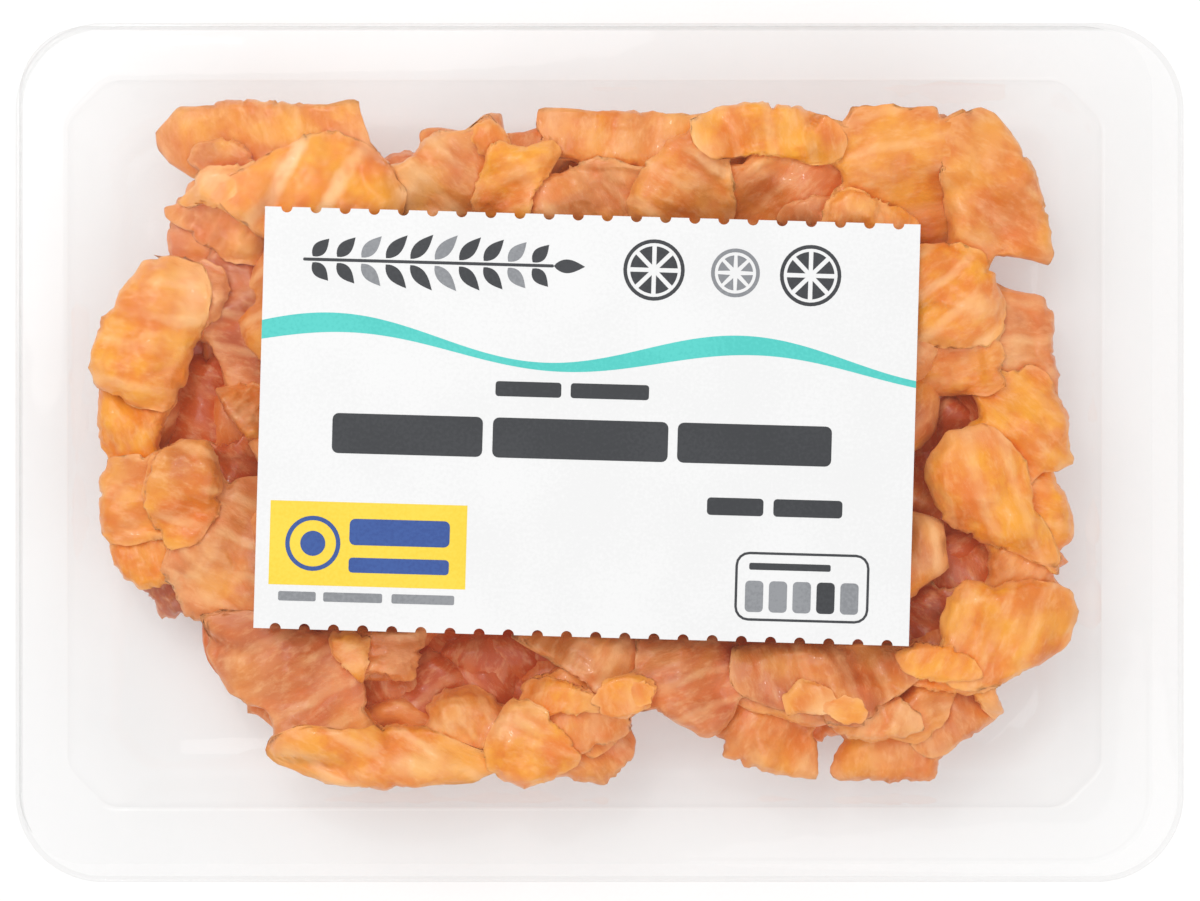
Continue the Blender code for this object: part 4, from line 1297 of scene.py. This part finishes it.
def makePaper():
    # a thin slab with a row of round bites cut out of its two long edges, turned and laid on the film
    middle = labelSizes["bottom"] + labelSizes["sheet"] / 2
    deselectAll()
    bpy.ops.mesh.primitive_cube_add(size=1, location=(0, 0, middle * mm))
    paper = bpy.context.object
    paper.name = "labelPaper"
    paper.scale = (labelSizes["length"] * mm, labelSizes["width"] * mm, labelSizes["sheet"] * mm)
    applyPlace(paper)
    cutters = []
    first = -labelSizes["notchPitch"] * (labelSizes["notchCount"] - 1) / 2
    for number in range(labelSizes["notchCount"]):
        for side in (1, -1):
            cutters.append(addCylinder(first + number * labelSizes["notchPitch"], side * labelSizes["width"] / 2,
                                       middle, labelSizes["notchRadius"], 2))
    cutter = joinPieces(cutters, "notchCutter")
    applyModifier(paper, "BOOLEAN", operation="DIFFERENCE", solver="EXACT", object=cutter)
    bpy.data.objects.remove(cutter, do_unlink=True)
    paper.rotation_euler.z = math.radians(labelSizes["turn"])
    paper.location = (labelSizes["centre"][0] * mm, labelSizes["centre"][1] * mm, 0)
    applyPlace(paper)
    setMaterial(paper, inkMaterials["white"])
    return paper


# Places on the label are millimetres from its middle
printPlan = {
    "inkHeight": 0.02,
    "band": {"steps": 120, "y": 13.2, "swing": 2.6, "fall": 3.0, "waves": 1.6, "thin": 0.55, "swell": 1.05},
    "sprig": {"left": -46.0, "right": -6.0, "y": 25.4, "stem": 0.5, "first": 1.5, "pairs": 10, "pitch": 3.9,
              "leaf": 5.4, "taper": 0.22, "leafWidth": 2.1, "turn": 48, "tip": (5.0, 2.2)},
    "slices": ((10, 25.2, 4.9, "charcoal"), (23, 25.1, 3.9, "grey"), (35, 25.0, 4.9, "charcoal")),
    "slice": {"rind": 0.6, "hub": 0.9, "inset": 1.1, "segments": 8, "share": 0.38},
    "charcoalBars": (  # x, y, length, width, corner
        (-9.5, 5.6, 10.5, 2.4, 0.5), (3.5, 5.6, 12.5, 2.4, 0.5),
        (-28.6, -2.2, 24.0, 6.4, 1.0), (-1.0, -2.2, 28.0, 6.4, 1.0), (26.8, -2.2, 24.6, 6.4, 1.0),
        (24.0, -12.2, 9.0, 2.8, 0.6), (35.6, -12.2, 11.0, 2.8, 0.6),
    ),
    "greyBars": ((-45.5, -28.4, 6.0, 1.5, 0.3), (-36.6, -28.4, 9.4, 1.5, 0.3), (-25.4, -28.4, 10.0, 1.5, 0.3)),
    "frame": (35.0, -24.8, 21.4, 11.0, 2.2),
    "frameLine": 0.4,
    "frameBar": (-2.0, 3.2, 13.0, 1.1, 0.3),
    "blocks": {"x": -7.6, "y": -1.6, "pitch": 3.8, "count": 5, "dark": 3, "size": (2.9, 5.0, 0.7)},
    "panel": (-34.4, -19.9, 31.4, 13.4),
    "panelRing": {"x": -8.8, "radius": 4.4, "line": 0.7, "dot": 2.0},
    "panelBars": ((5.0, 2.0, 16.0, 4.2, 0.9), (5.0, -3.3, 16.0, 2.4, 0.6)),
}


def ringOutlines(x, y, radius, line):
    return [circleOutline(x, y, radius), list(reversed(circleOutline(x, y, radius - line)))]


def waveBand():
    # a ribbon across the label whose two edges swing apart and together
    band = printPlan["band"]
    upper = []
    lower = []
    for step in range(band["steps"] + 1):
        u = step / band["steps"]
        x = (u - 0.5) * labelSizes["length"]
        y = band["y"] + band["swing"] * math.sin(math.tau * (band["waves"] * u + 0.05)) - band["fall"] * u
        half = band["thin"] + band["swell"] * (0.5 + 0.5 * math.cos(math.tau * (band["waves"] * u - 0.1)))
        upper.append((x, y + half))
        lower.append((x, y - half))
    return upper + list(reversed(lower))


def leafOutline(x, y, length, width, turn):
    angle = math.radians(turn)
    points = []
    for side in (1, -1):
        for step in range(12):
            t = step / 12 if side > 0 else 1 - step / 12
            u = t * length
            v = side * width / 2 * math.sin(math.pi * t ** 0.8)
            points.append((x + u * math.cos(angle) - v * math.sin(angle),
                           y + u * math.sin(angle) + v * math.cos(angle)))
    return points


def addSprig(shapes):
    # a level sprig of paired leaves, every third pair grey
    sprig = printPlan["sprig"]
    left, right, y = sprig["left"], sprig["right"], sprig["y"]
    shapes["charcoal"].append(barOutline((left + right) / 2, y, right - left, sprig["stem"], 0.2))
    for pair in range(sprig["pairs"]):
        x = left + sprig["first"] + pair * sprig["pitch"]
        length = sprig["leaf"] - sprig["taper"] * abs(pair - (sprig["pairs"] - 1) / 2) ** 1.3
        ink = "grey" if pair % 3 == 2 else "charcoal"
        for side in (1, -1):
            shapes[ink].append(leafOutline(x, y + side * sprig["stem"], length, sprig["leafWidth"],
                                           side * sprig["turn"]))
    shapes["charcoal"].append(leafOutline(right, y, *sprig["tip"], 0))


def addSlices(shapes):
    # cut lemon wheels: a rind and its segments each, on the white paper
    cut = printPlan["slice"]
    spread = math.tau / cut["segments"] * cut["share"]
    for x, y, radius, ink in printPlan["slices"]:
        shapes[ink] += ringOutlines(x, y, radius, cut["rind"])
        outer = radius - cut["inset"]
        for part in range(cut["segments"]):
            middle = math.tau * (part + 0.5) / cut["segments"]
            wedge = [(x + cut["hub"] * math.cos(middle), y + cut["hub"] * math.sin(middle))]
            for step in range(7):
                angle = middle - spread + 2 * spread * step / 6
                wedge.append((x + outer * math.cos(angle), y + outer * math.sin(angle)))
            shapes[ink].append(wedge)


def makePrint():
    # plain bars and fields in flat shapes, the marks on the panel one sheet higher
    shapes = {"charcoal": [], "grey": []}
    addSprig(shapes)
    addSlices(shapes)
    shapes["charcoal"] += [barOutline(*bar) for bar in printPlan["charcoalBars"]]
    shapes["grey"] += [barOutline(*bar) for bar in printPlan["greyBars"]]

    # a rounded frame with a short bar and a row of blocks
    x, y, length, width, corner = printPlan["frame"]
    line = printPlan["frameLine"]
    shapes["charcoal"].append(barOutline(x, y, length, width, corner))
    shapes["charcoal"].append(list(reversed(barOutline(x, y, length - 2 * line, width - 2 * line, corner - line))))
    barX, barY, *size = printPlan["frameBar"]
    shapes["charcoal"].append(barOutline(x + barX, y + barY, *size))
    blocks = printPlan["blocks"]
    for number in range(blocks["count"]):
        ink = "charcoal" if number == blocks["dark"] else "grey"
        shapes[ink].append(barOutline(x + blocks["x"] + number * blocks["pitch"], y + blocks["y"], *blocks["size"]))

    # a yellow panel with a ring, a dot and two bars
    x, y, length, width = printPlan["panel"]
    ring = printPlan["panelRing"]
    blue = ringOutlines(x + ring["x"], y, ring["radius"], ring["line"])
    blue.append(circleOutline(x + ring["x"], y, ring["dot"]))
    blue += [barOutline(x + barX, y + barY, *size) for barX, barY, *size in printPlan["panelBars"]]

    high = printPlan["inkHeight"]
    paperTop = labelSizes["bottom"] + labelSizes["sheet"]
    return [
        flatShape("printBand", [waveBand()], "turquoise", paperTop, high),
        flatShape("printCharcoal", shapes["charcoal"], "charcoal", paperTop, high),
        flatShape("printGrey", shapes["grey"], "grey", paperTop, high),
        flatShape("printPanel", [barOutline(x, y, length, width)], "yellow", paperTop, high),
        flatShape("printPanelMarks", blue, "blue", paperTop + high, high),
    ]


for ink, (low, high) in inks.items():
    inkMaterials[ink] = paperMaterial(ink + "Paper", {"low": low, "high": high, "roughness": 0.5, "bump": 0.15})
paperPiece = makePaper()
printPieces = makePrint()
print("label and its print made")


# What each piece rides on and stands for

for piece in [trayPiece, filmPiece, paperPiece] + heapPieces + printPieces:
    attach(piece, "root")
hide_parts("tray")
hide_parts("lid_film")
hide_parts("label")
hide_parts("salmon_heap")
